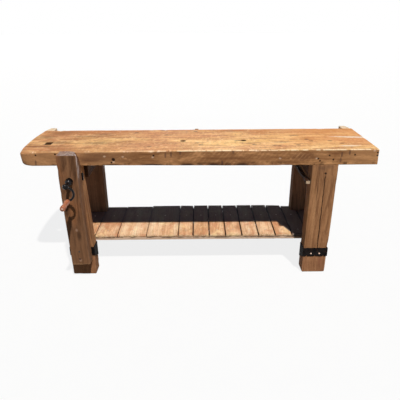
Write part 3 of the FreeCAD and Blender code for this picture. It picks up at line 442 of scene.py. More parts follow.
def slab_marks(f, colour):
    """The slab's top is paler than its sides, with worn edges, filler, scars and nail holes."""
    px, py, pz = f.axes(f.x)
    back = f.minus(py, SLAB_FRONT)
    top = f.range(f.normal[2], 0.35, 0.8)
    side = f.minus(1.0, top)

    # The top: long streaks, yellow and reddish patches, browner at the left and at the back
    bands = f.drawn((4.0, 20.0, 1.0), 6.0, 0.68)
    broad = f.drawn((2.0, 8.0, 1.0), 5.0, 0.62, 0.6, (4.0, 1.0, 0.0))
    curl = f.drawn((9.0, 12.0, 1.0), 5.0, 0.7, 0.8, (7.0, 3.0, 0.0))
    grade = f.plus(f.times(bands, 0.7), f.times(f.fibres, 0.3))
    face = f.ramp(grade, [(0.4, tone(178, 118, 76)), (0.5, tone(224, 168, 114)), (0.59, tone(252, 210, 150))])
    face = f.mix(f.range(broad, 0.47, 0.6, 0.0, 0.6), face, tone(206, 138, 98))
    face = f.mix(f.range(broad, 0.32, 0.45, 0.6, 0.0), face, tone(255, 212, 140))
    grit = f.drawn((45.0, 26.0, 1.0), 4.0, 0.75)
    face = f.mix(f.range(grit, 0.34, 0.47, 0.55, 0.0), face, tone(158, 106, 84))
    face = f.mix(f.range(grit, 0.53, 0.66, 0.0, 0.5), face, tone(255, 226, 176))
    dim = f.times(f.range(px, -1.0, 0.1, 1.0, 0.0), f.range(curl, 0.36, 0.6, 0.15, 1.0))
    face = f.mix(f.times(dim, 0.62), face, tone(158, 104, 64))
    rear = f.times(f.range(back, 0.34, 0.52), f.range(curl, 0.35, 0.6, 0.25, 0.75))
    face = f.mix(rear, face, tone(184, 118, 68))
    warm = f.times(f.range(px, 0.25, 0.85), f.range(back, 0.03, 0.2))
    face = f.mix(f.times(warm, 0.5), face, tone(220, 150, 88))
    round_knots = [(-1.0, 0.34), (-0.94, 0.43), (-0.633, 0.187), (-0.637, 0.4), (-0.88, 0.2)]
    long_knots = [(-0.95, 0.475), (-0.73, 0.36), (-0.98, 0.118)]
    knots = f.most(f.top_spots(round_knots, (0.06, 0.03, 0.05), 0.8),
                   f.top_spots(long_knots, (0.13, 0.016, 0.05), 0.7))
    face = f.mix(f.times(knots, f.range(f.fine, 0.3, 0.6, 0.75, 0.35)), face, tone(112, 74, 50))

    # A slanting check at the right end and a short one before it, both filled pale
    off = f.maths("ABSOLUTE", f.minus(f.minus(back, f.times(px, -0.12)), 0.405))
    wide = f.times(f.range(px, 0.88, 1.0, 0.006, 0.017), f.range(f.fine, 0.3, 0.7, 0.6, 1.4))
    filler = f.times(f.maths("LESS_THAN", off, wide), f.range(px, 0.84, 0.9))
    filler = f.most(filler, f.top_spots([(0.93, 0.082)], (0.06, 0.012, 0.05), 0.5))
    face = f.mix(f.times(filler, 0.85), face, tone(240, 222, 200))

    # Scars
    small = [(0.474, 0.102), (-0.017, 0.46), (-0.006, 0.173), (0.019, 0.133), (0.5, 0.098)]
    small += [(0.72, 0.2), (0.7, 0.24), (-0.245, 0.5), (0.62, 0.11), (-0.3, 0.1), (0.84, 0.2)]
    small += [(0.9, 0.14), (-0.42, 0.44), (0.35, 0.13)]
    scars = f.most(f.top_spots([(0.636, 0.337), (-0.202, 0.371), (0.258, 0.226)], (0.026, 0.011, 0.05), 0.6),
                   f.top_spots([(0.53, 0.18)], (0.055, 0.01, 0.05), 0.6),
                   f.top_spots(small, (0.015, 0.012, 0.05)))
    face = f.mix(f.times(scars, f.range(f.fine, 0.35, 0.6, 0.85, 0.4)), face, tone(96, 62, 46))
    face = f.mix(f.times(f.pit, 0.6), face, tone(122, 80, 50))
    ends = f.minus(1.0, f.times(f.end, 0.6))
    colour = f.mix(f.times(top, ends), colour, face)

    # The mortise and the holes are painted dark inside: painted shade in the recesses
    stop = (sum(STOP_X) / 2, sum(STOP_BACK) / 2)
    hollow = f.most(f.top_spots([stop], (0.034, 0.05, 0.3), 0.1),
                    f.top_spots([(x, HOLDFAST_BACK) for x in HOLDFASTS], (0.021, 0.021, 0.3), 0.1))
    hollow = f.times(hollow, f.range(pz, TOP - 0.0015, TOP - 0.006))

    # The front: mottled, with slanting saw marks and dark stains
    mottle = f.drawn((9.0, 9.0, 22.0), 6.0, 0.7, 0.5)
    front = f.mix(f.range(mottle, 0.36, 0.5, 0.5, 0.0), colour, tone(124, 80, 50))
    front = f.mix(f.range(mottle, 0.5, 0.64, 0.0, 0.6), front, tone(222, 164, 112))
    front = f.mix(f.range(px, 0.82, 0.95, 0.0, 0.3), front, tone(220, 166, 116))
    front = f.mix(f.range(px, -0.3, -0.6, 0.0, 0.22), front, tone(214, 164, 120))
    dip = f.front_spots([(-0.6, 0.826), (-0.64, 0.8), (0.628, 0.806)], (0.07, 0.03, 0.02), 0.7)
    front = f.mix(f.times(dip, 0.5), front, tone(86, 52, 38))
    sweep = f.plus(f.times(px, 230.0), f.times(pz, -190.0))
    saw = f.range(f.maths("SINE", f.plus(sweep, f.times(f.patches, 12.0))), -0.2, 1.0)
    where = f.times(f.range(px, -0.12, 0.0), f.range(px, 0.66, 0.8, 1.0, 0.0))
    saw = f.times(saw, where, f.range(mottle, 0.4, 0.6, 0.05, 0.45))
    front = f.mix(saw, front, tone(206, 152, 104))
    bitten = [(x, UNDER) for x in (-0.29, -0.25, -0.067, 0.096, 0.264, -0.51)]
    bites = f.front_spots(bitten, (0.04, 0.03, 0.009), 0.6)
    low = f.range(pz, UNDER + 0.004, UNDER + 0.02, 1.0, 0.0)
    low = f.times(low, f.range(f.speckle(f.x, 22.0), 0.5, 0.62))
    front = f.mix(f.most(f.times(low, 0.6), f.times(bites, 0.85)), front, tone(36, 22, 16))
    stained = [(-0.194, 0.822), (-0.161, 0.828), (-0.107, 0.84), (0.86, 0.819), (0.856, 0.785)]
    stained += [(0.906, 0.831), (0.21, 0.845), (0.144, 0.772), (-0.973, 0.782)]
    stains = f.front_spots(stained, (0.006, 0.03, 0.016))
    front = f.mix(f.times(stains, 0.55), front, tone(66, 50, 50))
    nails = [(0.786, 0.814), (0.813, 0.787), (0.72, 0.794), (0.732, 0.78), (0.938, 0.817), (1.072, 0.829)]
    nails += [(1.073, 0.812), (-0.266, 0.82), (-0.968, 0.83), (-0.851, 0.835), (-0.52, 0.78)]
    holes = f.most(f.front_spots(nails, (0.0055, 0.03, 0.0055)),
                   f.front_spots([(-0.507, 0.799)], (0.011, 0.03, 0.01)))
    chipped = [(-0.507, 0.784), (-0.271, 0.811), (0.712, 0.797), (-0.56, 0.818), (-0.45, 0.815)]
    chipped += [(1.052, 0.842), (0.491, 0.798)]
    pale = f.front_spots(chipped, (0.007, 0.03, 0.005), 0.6)
    front = f.mix(f.times(pale, 0.6), front, tone(232, 200, 170))
    front = f.mix(f.times(holes, 0.95), front, tone(26, 17, 14))
    colour = f.mix(side, colour, front)
    # Painted shade inside the mortise and the holdfast holes
    colour = f.mix(f.times(hollow, 0.9), colour, tone(44, 29, 22))

    # The front arris: a bright worn line with nicks, softer at the left
    line = f.times(f.range(pz, TOP - 0.006, TOP - 0.002), f.range(back, 0.018, 0.006))
    nick = f.drawn((26.0, 1.0, 1.0), 4.0, 0.75)
    bright = f.times(f.range(px, -0.75, 0.15, 0.1, 1.0), f.range(nick, 0.42, 0.52))
    worn_away = [(x, TOP) for x in (-0.43, -0.66, -0.28, -0.24, 0.35, -0.98)]
    chips = f.front_spots(worn_away, (0.013, 0.014, 0.008), 0.7)
    colour = f.mix(f.times(line, bright, 0.9), colour, tone(255, 232, 192))
    colour = f.mix(f.times(chips, f.range(f.fine, 0.42, 0.55, 0.0, 0.85)), colour, tone(248, 222, 190))
    dark = f.times(line, f.range(nick, 0.40, 0.33))
    colour = f.mix(f.times(dark, 0.75), colour, tone(92, 62, 52))
    f.pit = f.most(f.pit, holes, f.times(scars, 0.8))
    return colour


def jaw_marks(f, colour):
    """Nicks, pale flecks down the right arris and dark streaks."""
    _, py, pz = f.axes(f.x)
    colour = f.streaked(colour, (34.0, 34.0, 3.0), (62, 40, 28), (158, 118, 84), (0.55, 0.4))
    warm = f.drawn((12.0, 12.0, 3.0), 4.0, 0.6)
    colour = f.mix(f.range(warm, 0.5, 0.66, 0.0, 0.5), colour, tone(160, 104, 66))
    nicked = [(-0.758, -0.23, 0.15), (-0.756, -0.23, 0.369), (-0.69, -0.23, 0.42)]
    nicks = f.spots(nicked, (0.007, 0.06, 0.009), 0.7)
    colour = f.mix(f.times(nicks, 0.6), colour, tone(196, 160, 140))
    colour = f.mix(f.range(pz, 0.5, 0.3, 0.0, 0.3), colour, tone(158, 116, 84))
    foot = f.times(f.range(pz, 0.128, 0.12), f.range(f.fine, 0.4, 0.55, 0.2, 0.8))
    colour = f.mix(foot, colour, tone(176, 136, 100))
    arris = f.times(f.range(f.normal[0], 0.3, 0.6), f.range(py, -0.19, -0.215))
    torn = f.range(f.drawn((40.0, 40.0, 22.0), 4.0), 0.4, 0.56, 0.2, 1.0)
    flecks = f.times(arris, torn, f.range(pz, 0.66, 0.76, 0.06, 1.0), 0.75)
    colour = f.mix(flecks, colour, tone(226, 206, 200))
    grime = f.range(f.speckle(f.x, 55.0, 4.0, 0.7), 0.4, 0.52, 0.75, 0.0)
    crown = f.times(f.range(f.normal[2], 0.4, 0.8), grime)
    colour = f.mix(crown, colour, tone(112, 84, 78))
    knotted = [(-0.8, -0.24, 0.5), (-0.745, -0.236, 0.33), (-0.765, -0.24, 0.62)]
    knots = f.spots(knotted, (0.012, 0.05, 0.03), 0.6)
    return f.mix(f.times(knots, 0.6), colour, tone(46, 30, 22))


def leg_marks(f, colour):
    """A long crack down the right front leg, a fine one beside it, smudges and a nail hole."""
    px, py, pz = f.axes(f.x)
    colour = f.streaked(colour, (40.0, 40.0, 3.5), (96, 60, 38), (198, 144, 98))
    hole = f.front_spots([(0.775, 0.7)], (0.007, 0.03, 0.007))
    colour = f.mix(f.times(hole, 0.9), colour, tone(30, 22, 18))
    f.pit = f.most(f.pit, hole)
    wander = f.speckle(f.vector(0.0, 0.0, f.times(pz, 9.0)), 1.0, 4.0, 0.6)
    main = f.plus(px, f.times(f.minus(wander, 0.5), 0.022))
    main = f.range(f.maths("ABSOLUTE", f.minus(main, 0.775)), 0.0018, 0.0042, 1.0, 0.0)
    main = f.times(main, f.range(pz, 0.67, 0.7, 1.0, 0.0))
    second = f.plus(px, f.times(wander, 0.018))
    second = f.range(f.maths("ABSOLUTE", f.minus(second, 0.745)), 0.0008, 0.0024, 0.6, 0.0)
    second = f.times(second, f.range(pz, 0.46, 0.54))
    crack = f.times(f.most(main, second), f.range(f.fine, 0.3, 0.5, 0.55, 1.0),
                    f.range(py, SLAB_FRONT + 0.06, SLAB_FRONT + 0.03))
    colour = f.mix(f.times(crack, 0.9), colour, tone(30, 19, 14))
    f.pit = f.most(f.pit, crack)
    smudge = f.front_spots([(0.795, 0.745), (0.752, 0.735)], (0.022, 0.04, 0.014), 0.8)
    return f.mix(f.times(smudge, 0.4), colour, tone(84, 66, 56))


def board_marks(f, colour):
    """Sawn boards: streaks, patches, grime at their sides, painted shade on their side faces and painted
    shadow at the shelf's back.
    """
    colour = f.streaked(colour, (30.0, 6.0, 30.0), (176, 116, 74), (255, 232, 196), starts=(0.34, 0.54))
    patch = f.drawn((14.0, 9.0, 1.0), 4.0, 0.7, 0.6)
    colour = f.mix(f.range(patch, 0.36, 0.48, 0.45, 0.0), colour, tone(204, 128, 92))
    colour = f.mix(f.range(patch, 0.54, 0.66, 0.0, 0.5), colour, tone(255, 226, 170))
    sides = f.times(f.edge, f.range(f.fine, 0.35, 0.6, 0.7, 0.35), f.minus(1.0, f.end))
    colour = f.mix(sides, colour, tone(132, 88, 62))
    # Painted shade: the boards' side faces, seen in the joints between them, are made nearly black
    painted_gap_shade = f.range(f.maths("ABSOLUTE", f.normal[0]), 0.6, 0.9)
    colour = f.mix(f.times(painted_gap_shade, 0.9), colour, tone(36, 24, 18))
    px, py, _ = f.axes(f.x)
    # Painted shadow: the slab's shadow over the shelf's rear and the right front leg's shadow in its right
    # corner, in bluish dark grey
    corner = f.range(f.plus(px, f.times(py, 0.4)), 0.62, 0.628)
    shadow_notch = f.times(f.range(px, 0.573, 0.578), f.range(py, 0.112, 0.12))
    painted_shadow = f.times(f.most(f.range(py, 0.168, 0.176), corner, shadow_notch), 0.85)
    return f.mix(painted_shadow, colour, tone(70, 70, 82))


def shelf_rail_shadow_line(f, colour):
    """A painted shadow line along the rail's front, just under the boards' ends, broken in places."""
    pz = f.axes(f.x)[2]
    gaps = f.range(f.drawn((13.0, 1.0, 90.0), 4.0), 0.44, 0.54, 0.1, 0.8)
    # Painted shadow under the boards' ends
    line = f.times(f.range(pz, BOARD_UNDER - 0.008, BOARD_UNDER - 0.005), gaps)
    return f.mix(line, colour, tone(84, 58, 44))


def left_leg_marks(f, colour):
    """Streaks, paler towards the top as painted light, and a painted shadow line under the slab."""
    colour = f.streaked(colour, (40.0, 40.0, 3.5), (104, 68, 44), (214, 154, 106), (0.4, 0.35))
    pz = f.axes(f.x)[2]
    # Painted light: the leg's front is made paler towards its top, as if lit there
    colour = f.mix(f.range(pz, 0.5, 0.7, 0.0, 0.6), colour, tone(240, 178, 124))
    # Painted shadow: a dark band on the leg just under the slab
    painted_shadow_band = f.range(pz, UNDER - 0.012, UNDER - 0.006, 0.0, 0.85)
    return f.mix(painted_shadow_band, colour, tone(30, 20, 15))


def foot_marks(f, colour):
    """Pinkish rust on the foot under the strap's nails."""
    pz = f.axes(f.x)[2]
    runs = f.range(f.speckle(f.scaled(f.x, (9.0, 9.0, 1.2)), 6.0), 0.5, 0.66)
    runs = f.times(runs, f.range(pz, 0.02, 0.1, 0.15, 1.0), 0.35)
    return f.mix(runs, colour, tone(176, 112, 88))


def grip_finish():
    """The grip: handled wood, copper brown, turned round its own axis."""
    f = Finish("grip_wood")
    x = f.place.outputs["Object"]
    stripes = f.speckle(f.scaled(x, (300.0, 14.0, 300.0)), 1.0, 4.0, 0.6)
    dark, middle, light = tone(108, 58, 38), tone(168, 99, 68), tone(206, 136, 100)
    colour = f.ramp(stripes, [(0.32, dark), (0.5, middle), (0.7, light)])
    worn_patch = f.range(f.speckle(x, 60.0, 4.0, 0.6), 0.48, 0.66)
    colour = f.mix(f.times(worn_patch, 0.4), colour, tone(210, 142, 106))
    return f.finished(colour, f.range(stripes, 0.3, 0.7, 0.34, 0.52), stripes, 0.4, 0.0006)


slab_wood = timber("slab_wood", "X", ((132, 90, 58), (182, 130, 86), (214, 160, 110)), 3, ring=0.011,
                   ring_share=0.25, blotch=0.35, wear=(216, 162, 112), wear_share=0.4,
                   ends=((150, 104, 66), (200, 146, 96)), pith=(0.35, 0.62), marks=slab_marks)
leg_wood = timber("leg_wood", "Z", ((120, 82, 54), (174, 124, 86), (206, 154, 110)), 7, ring=0.009,
                  ring_share=0.25, wear=(206, 156, 112), pith=(0.9, -0.5), marks=leg_marks)
rear_wood = timber("rear_leg_wood", "Z", ((114, 82, 60), (164, 122, 94), (196, 150, 118)), 9, ring=0.009,
                   wear=(140, 100, 70), pith=(0.6, 0.0))
left_wood = timber("left_leg_wood", "Z", ((136, 94, 62), (190, 138, 98), (224, 170, 126)), 12, ring=0.01,
                   ring_share=0.3, wear=(200, 150, 106), pith=(-0.5, -0.2), marks=left_leg_marks)
foot_wood = timber("foot_wood", "Z", ((118, 80, 56), (170, 120, 84), (202, 148, 108)), 15, ring=0.008,
                   ring_share=0.3, wear=(204, 150, 114), pith=(0.4, -0.5), marks=foot_marks)
jaw_wood = timber("jaw_wood", "Z", ((88, 58, 40), (130, 91, 64), (164, 118, 84)), 21, ring=0.006,
                  ring_share=0.4, wear=(176, 138, 108), wear_share=0.4, dark_pores=0.6, bump=1.5,
                  ends=((140, 118, 110), (206, 182, 168)), pith=(-0.8, 0.1), marks=jaw_marks)
rail_wood = timber("rail_wood", "Y", ((70, 46, 30), (106, 72, 48), (134, 94, 64)), 25,
                   wear=(140, 104, 74), pith=(0.2, 0.3))
shelf_rail_wood = timber("shelf_rail_wood", "X", ((196, 158, 132), (236, 202, 174), (250, 226, 204)), 27,
                         wear=(216, 180, 150), pith=(0.3, 0.5), marks=shelf_rail_shadow_line)
tray_wood = timber("tray_wood", "X", ((120, 84, 54), (160, 118, 80), (188, 146, 104)), 31,
                   wear=(200, 160, 120), pith=(0.8, 0.2))
tray_end_wood = timber("tray_end_wood", "Y", ((206, 172, 136), (240, 214, 182), (250, 234, 208)), 35,
                       ring_share=0.2, blotch=0.2, wear=(246, 226, 196), dark_pores=0.2,
                       ends=((196, 160, 120), (226, 192, 150)), pith=(1.3, 0.6))
guide_wood = timber("guide_wood", "Y", ((92, 64, 42), (136, 98, 66), (166, 126, 88)), 39,
                    wear=(180, 140, 100), pith=(-0.6, 0.0))
# The runner's dark tones are painted shade, the slab's shadow along it, and its pale end faces are painted
# light
runner_painted_shade_wood = timber("runner_painted_shade_wood", "Y", ((50, 34, 24), (74, 50, 36), (96, 68, 48)), 33,
                     ends=((190, 158, 128), (222, 196, 166)), pith=(0.2, 0.3))
BOARD_TONES = (
    ((192, 134, 90), (246, 196, 150), (255, 228, 188)),
    ((182, 126, 86), (238, 182, 136), (254, 220, 176)),
    ((204, 148, 104), (250, 206, 164), (255, 234, 198)),
    ((180, 124, 88), (234, 180, 138), (252, 214, 172)),
)
board_woods = [
    timber(f"shelf_wood_{i + 1}", "Y", tones, 43 + 5 * i, ring=0.008, ring_share=0.25, blotch=0.35,
           wear=(150, 104, 74), wear_share=0.3, dark_pores=0.35, ends=((208, 166, 126), (246, 214, 176)),
           pith=(0.2 * i - 0.3, 0.9), marks=board_marks)
    for i, tones in enumerate(BOARD_TONES)
]
black_iron = iron("black_iron", (10, 10, 12), (26, 25, 27), 0.26, (60, 36, 26), 0.15, shine=0.25)
# The rivet's near-white skin is a worn iron end, made paler as a painted highlight
rivet_glint_iron = iron("rivet_glint_iron", (150, 108, 92), (240, 214, 200), 0.3)
strap_iron = iron("strap_iron", (14, 12, 13), (34, 31, 31), 0.72, (84, 50, 36), 0.2, metallic=0.1, shine=0.08)
dark_nail = iron("nail_iron", (44, 40, 38), (108, 98, 88), 0.5, (140, 84, 56), 0.5)
strap_nail = iron("strap_nail_iron", (130, 100, 84), (236, 208, 188), 0.45, (176, 104, 66), 0.6)
board_nail = iron("board_nail_iron", (176, 168, 156), (246, 240, 228), 0.4, (130, 82, 52), 0.2)


# How each timber is worn out of its box


def slab_bow(points):
    """The left end is bowed, and the underside hangs a little lower at the right front."""
    x, y, z = points.T
    radius = (BOW_APEX**2 + BOW_DEPTH**2) / (2 * BOW_DEPTH)
    nip = radius - np.sqrt(radius**2 - (y - SLAB_FRONT - BOW_APEX) ** 2)
    x += nip * rise(x, -0.7, -0.382)
    low = rise(z, 0.78, -0.016) * rise(y, SLAB_FRONT + 0.1, -0.03)
    z -= 0.008 * low * rise(x, -0.5, 0.8)
    return points


def slab_arris(points, radius):
    """Softer along the left half of the front, and most at the left end's lower corner."""
    x, y, z = points.T
    front, high, corner = rise(y, SLAB_FRONT + 0.08, -0.05), rise(z, 0.8, 0.02), rise(x, -1.02, -0.05)
    soft = rise(x, -0.1, -0.3) * (0.55 + 0.45 * noise(points * np.array([1, 0, 0]), 0.12, 17))
    return radius + front * (0.011 * soft * high + corner * (0.006 + 0.018 * (1 - high)))


def slab_dents(points):
    """The top is worn hollow and dinged, and the front sags in places."""
    x, y, z = points.T
    top, front = rise(z, TOP - 0.002, 0.002), rise(y, SLAB_FRONT + 0.002, -0.002)
    hollow = np.exp(-(((x - 0.2) / 0.5) ** 2) - ((y - SLAB_FRONT - 0.2) / 0.12) ** 2)
    ding = np.clip(noise(points, 0.045, 91) - 0.45, 0, 1) / 0.55
    sag = np.clip(noise(points * np.array([1, 0, 1.0]), 0.33, 93), 0, 1)
    return top * 0.0015 * (hollow + ding) + front * 0.002 * sag


def lean(row, side):
    """The right front leg leans out a little, and the other inner faces are planed back."""
    sign = 1 if side == "right" else -1

    def shift(points):
        out, z = points[:, 0] * sign, points[:, 2]
        if row == "rear":
            out += 0.011 * rise(out, 0.72, -0.03)
        elif side == "right":
            out += 0.004 * rise(z, 0.2, 0.04) * rise(out, 0.76, 0.06)
            out += 0.005 * rise(z, 0.2, 0.56)
            z -= 0.008 * rise(z, 0.74, 0.02)
        else:
            planed = 0.007 * rise(z, 0.2, 0.03) + 0.022 * rise(z, 0.25, 0.5)
            out += planed * rise(out, 0.735, -0.045)
        points[:, 0] = out * sign
        return points

    return shift


def left_arris(points, radius):
    """The left front leg's inner front arris is worn broadly round."""
    x, y, z = points.T
    inner = rise(x, -0.73, 0.03) * rise(y, SLAB_FRONT + 0.08, -0.04)
    return radius + 0.01 * inner * rise(z, 0.21, 0.08)


def toe(points):
    """A foot's two side faces curve in to the floor."""
    x, _, z = points.T
    middle = (x.min() + x.max()) / 2
    down = rise(z, 0.014, -0.014)
    x[:] = middle + (x - middle) * (1 - 0.08 * (1 - np.sqrt(1 - down**2)))
    return points


def board_arris(points, radius):
    """The boards' front ends are worn round."""
    return radius + 0.004 * rise(points[:, 1], SHELF_FRONT + 0.03, -0.02)


def board_flare(low, high, before, after):
    """A board's sides lean out below, so that little light falls through the joints."""
    left_reach = (low.x - before + MEET) / 2 if before is not None else 0.0
    right_reach = (after - high.x + MEET) / 2 if after is not None else 0.0

    def flare(points):
        x, y, z = points.T
        below = rise(z, high.z - 0.005, -0.008) * rise(y, high.y - 0.004, -0.01)
        left, right = rise(x, low.x + 0.01, -0.01), rise(x, high.x - 0.01, 0.01)
        x += below * (right * right_reach - left * left_reach)
        return points

    return flare


def tray_end_cut(outer, inner, back):
    """A tray end's outer back corner is cut away."""

    def slant(points):
        x, y, _ = points.T
        share = (x - inner) / (outer - inner)
        cut = rise(y, back - 0.05, 0.05) * 0.018 / 0.057
        x[:] = inner + (outer - inner) * share * (1 - cut)
        return points

    return slant


def jaw_taper(points):
    """The jaw is thick at its top and thinner below, with a worn back corner at its right top."""
    x, y, z = points.T
    below = rise(z, 0.6, -0.478)
    y[:] = JAW_BACK + (y - JAW_BACK) * (1 - below * 17 / 92)
    right, left, back = rise(x, JAW_X, 0.06), rise(x, JAW_X, -0.06), rise(y, -0.235, 0.085)
    x -= right * 0.007 * rise(z, 0.122, 0.5) * np.maximum(back, rise(z, 0.85, -0.2))
    x -= right * 0.026 * back * rise(z, 0.78, 0.075) ** 2
    x += left * 0.005 * below
    z -= 0.006 * rise(z, 0.2, -0.078)
    return points


def jaw_arris(points, radius):
    """Sharp along the crown's front, rounder along its right side."""
    x, y, z = points.T
    high, crown = rise(z, 0.742, 0.05), rise(z, 0.82, 0.02)
    right, front = rise(x, -0.735, 0.02), rise(y, -0.2, -0.02)
    rounder = 0.002 * high * right * front
    return radius * (1 - 0.35 * front * crown) + rounder + 0.01 * right * crown * (1 - front)


# The timbers


def timber_piece(node, material, seed, radius=0.004, rough=0.001, chips=0.004, body="bench",
                 low=(None,) * 3, high=(None,) * 3, arris=None, dents=None, shape=None, cuts=()):
    """A worn timber that fills its node's box, or the part of it that is given."""
    at_low, at_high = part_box(node)
    low = np.array([a if b is None else b for a, b in zip(at_low, low)], float)
    high = np.array([a if b is None else b for a, b in zip(at_high, high)], float)
    points, quads = worn(low, high, radius, seed, rough, chips, arris, dents)
    if shape is not None:
        points = shape(points)
    piece = mesh_piece(f"{node}_worn", points, quads, cuts)
    piece.data.materials.clear()
    piece.data.materials.append(material)
    mark_edges(piece.data, low, high)
    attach(piece, body)
    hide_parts(node)


def screw_bore(radius, low, high):
    """A round bore about the screw's axis, between two places from front to back."""
    return cutter((SCREW_X - radius, low, SCREW_Z - radius),
                  (SCREW_X + radius, high, SCREW_Z + radius), bar="Y")


def slab():
    """The slab, with its stop mortise and holdfast holes."""
    front, back = (SLAB_FRONT + place for place in STOP_BACK)
    cuts = [cutter((STOP_X[0], front, UNDER - OVER), (STOP_X[1], back, TOP), 0.0015)]
    for x in HOLDFASTS:
        y = SLAB_FRONT + HOLDFAST_BACK
        cuts.append(cutter((x - HOLDFAST_RADIUS, y - HOLDFAST_RADIUS, UNDER - OVER),
                           (x + HOLDFAST_RADIUS, y + HOLDFAST_RADIUS, TOP), 0.0025, "Z"))
    timber_piece("bench_top", slab_wood, 5, rough=0.0005, chips=0.006, arris=slab_arris,
                 dents=slab_dents, shape=slab_bow, cuts=cuts)


def leg_and_foot(number, row, side):
    """A leg and the foot under it; the vise's screw and guide pass through the left front pair."""
    low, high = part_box(f"leg_{row}_{side}")
    leg_cuts, foot_cuts, wood, arris = [], [], rear_wood, None
    if (row, side) == ("front", "right"):
        wood = leg_wood
    if (row, side) == ("front", "left"):
        wood, arris = left_wood, left_arris
        play, seat, way = 0.0005, 0.0055, 0.001
        leg_cuts = [
            screw_bore(0.018, low.y - OVER, high.y + OVER),
            cutter((PLATE[0].x - play, low.y - OVER, PLATE[0].z - play),
                   (PLATE[1].x + play, low.y + seat, PLATE[1].z + play)),
        ]
        foot_cuts = [cutter((GUIDE[0].x - way, low.y - OVER, GUIDE[0].z - way),
                            (GUIDE[1].x + way, high.y + OVER, GUIDE[1].z + way))]
    timber_piece(f"leg_{row}_{side}", wood, 11 + 9 * number, 0.0045, chips=0.006,
                 low=(None, None, FOOT_TOP), high=(None, None, UNDER), shape=lean(row, side), cuts=leg_cuts,
                 arris=arris)
    timber_piece(f"foot_{row}_{side}", foot_wood, 61 + 9 * number, rough=0.0006, chips=0.005,
                 high=(None, None, FOOT_TOP), cuts=foot_cuts, shape=toe)


def rails():
    """The stretchers and rails from front to back, between the legs, and the two under the shelf."""
    for i, side in enumerate(SIDES):
        behind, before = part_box(f"leg_front_{side}")[1].y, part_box(f"leg_rear_{side}")[0].y
        for k, kind in enumerate(("side_stretcher", "side_rail")):
            timber_piece(f"{kind}_{side}", rail_wood, 101 + 9 * i + 4 * k,
                         low=(None, behind, None), high=(None, before, None))
    for i, row in enumerate(ROWS):
        timber_piece(f"shelf_rail_{row}", shelf_rail_wood, 121 + 5 * i, 0.002, 0.0006, 0.003)


def shelf_board(number, boxes):
    """One board, notched round a rear leg that stands in its way."""
    low, high = boxes[number]
    before = boxes[number - 1][1].x if number else None
    after = boxes[number + 1][0].x if number + 1 < len(boxes) else None
    cuts = []
    for side in SIDES:
        leg_low, leg_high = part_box(f"leg_rear_{side}")
        if low.x < leg_high.x and high.x > leg_low.x:
            # The leg's inner face is planed back, and the notch follows it
            play, inner = 0.002, -0.009
            left, right = (play, inner) if side == "left" else (inner, play)
            cuts.append(cutter((leg_low.x - left, leg_low.y - play, low.z - OVER),
                               (leg_high.x + right, leg_high.y + OVER, high.z + OVER)))
    longer = 0.007 if number in LONG_BOARDS else 0.0
    timber_piece(f"shelf_board_{number + 1:02d}", board_woods[(number * 7 + number // 3) % 4],
                 131 + 7 * number, 0.0018, 0.0005, high=(None, high.y + longer, None), arris=board_arris,
                 shape=board_flare(low, high, before, after), cuts=cuts)


def tray():
    """The tray behind the slab, with a pale block at each end."""
    for i, node in enumerate(("tray_bottom", "tray_back", "tray_spacer")):
        timber_piece(node, tray_wood, 251 + 5 * i, 0.002, 0.0005, 0.002)
    for i, side in enumerate(SIDES):
        low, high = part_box(f"tray_end_{side}")
        outer, inner = (high.x, low.x) if side == "right" else (low.x, high.x)
        timber_piece(f"tray_end_{side}", tray_end_wood, 271 + 5 * i, rough=0.0008,
                     chips=0.005, low=(None, SLAB_BACK, None), shape=tray_end_cut(outer, inner, high.y))


def vise():
    """The jaw, cut back behind its foot, and the guide with its row of pin holes."""
    low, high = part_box("vise_jaw")
    relief, relief_top = 0.009, 0.213
    cuts = [
        screw_bore(0.015, low.y - OVER, high.y + OVER),
        cutter((low.x - OVER, high.y - relief, low.z - OVER), (high.x + OVER, high.y + OVER, relief_top)),
    ]
    timber_piece("vise_jaw", jaw_wood, 301, rough=0.0008, chips=0.006, body="jaw",
                 arris=jaw_arris, shape=jaw_taper, cuts=cuts)
    radius, z = 0.0051, (GUIDE[0].z + GUIDE[1].z) / 2
    holes, hindmost, apart = [], SLAB_FRONT + 0.25, 0.04
    for number in range(4):
        y = hindmost - apart * number
        holes.append(cutter((GUIDE[0].x - OVER, y - radius, z - radius),
                            (GUIDE[1].x + OVER, y + radius, z + radius), bar="X"))
    timber_piece("guide_bar", guide_wood, 311, 0.002, 0.0004, 0.002, "jaw", cuts=holes)


slab()
for number, (row, side) in enumerate((row, side) for row in ROWS for side in SIDES):
    leg_and_foot(number, row, side)
rails()
board_boxes = [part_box(f"shelf_board_{number + 1:02d}") for number in range(13)]
for number in range(len(board_boxes)):
    shelf_board(number, board_boxes)
timber_piece("drawer_runner", runner_painted_shade_wood, 241, 0.0025, 0.0006, 0.003)
tray()
vise()
for block in CUTTERS:
    bpy.data.objects.remove(block)

# Iron and small wood that keep their CAD shape
FINISHES = {
    "guide_pin": guide_wood,
    "crank_grip": grip_finish(),
    "grip_spindle": rivet_glint_iron,
    "strap_nails": strap_nail,
    "shelf_nails": board_nail,
    "jaw_nails": dark_nail,
    "runner_screws": dark_nail,
    "nut_screws": dark_nail,
}
for node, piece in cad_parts.items():
    if piece.hide_render:
        continue
    finish = FINISHES.get(node, strap_iron if node.startswith("strap_") else black_iron)
    if not piece.material_slots:
        piece.data.materials.append(finish)
    for slot in piece.material_slots:
        slot.material = finish

# Floor, light and camera


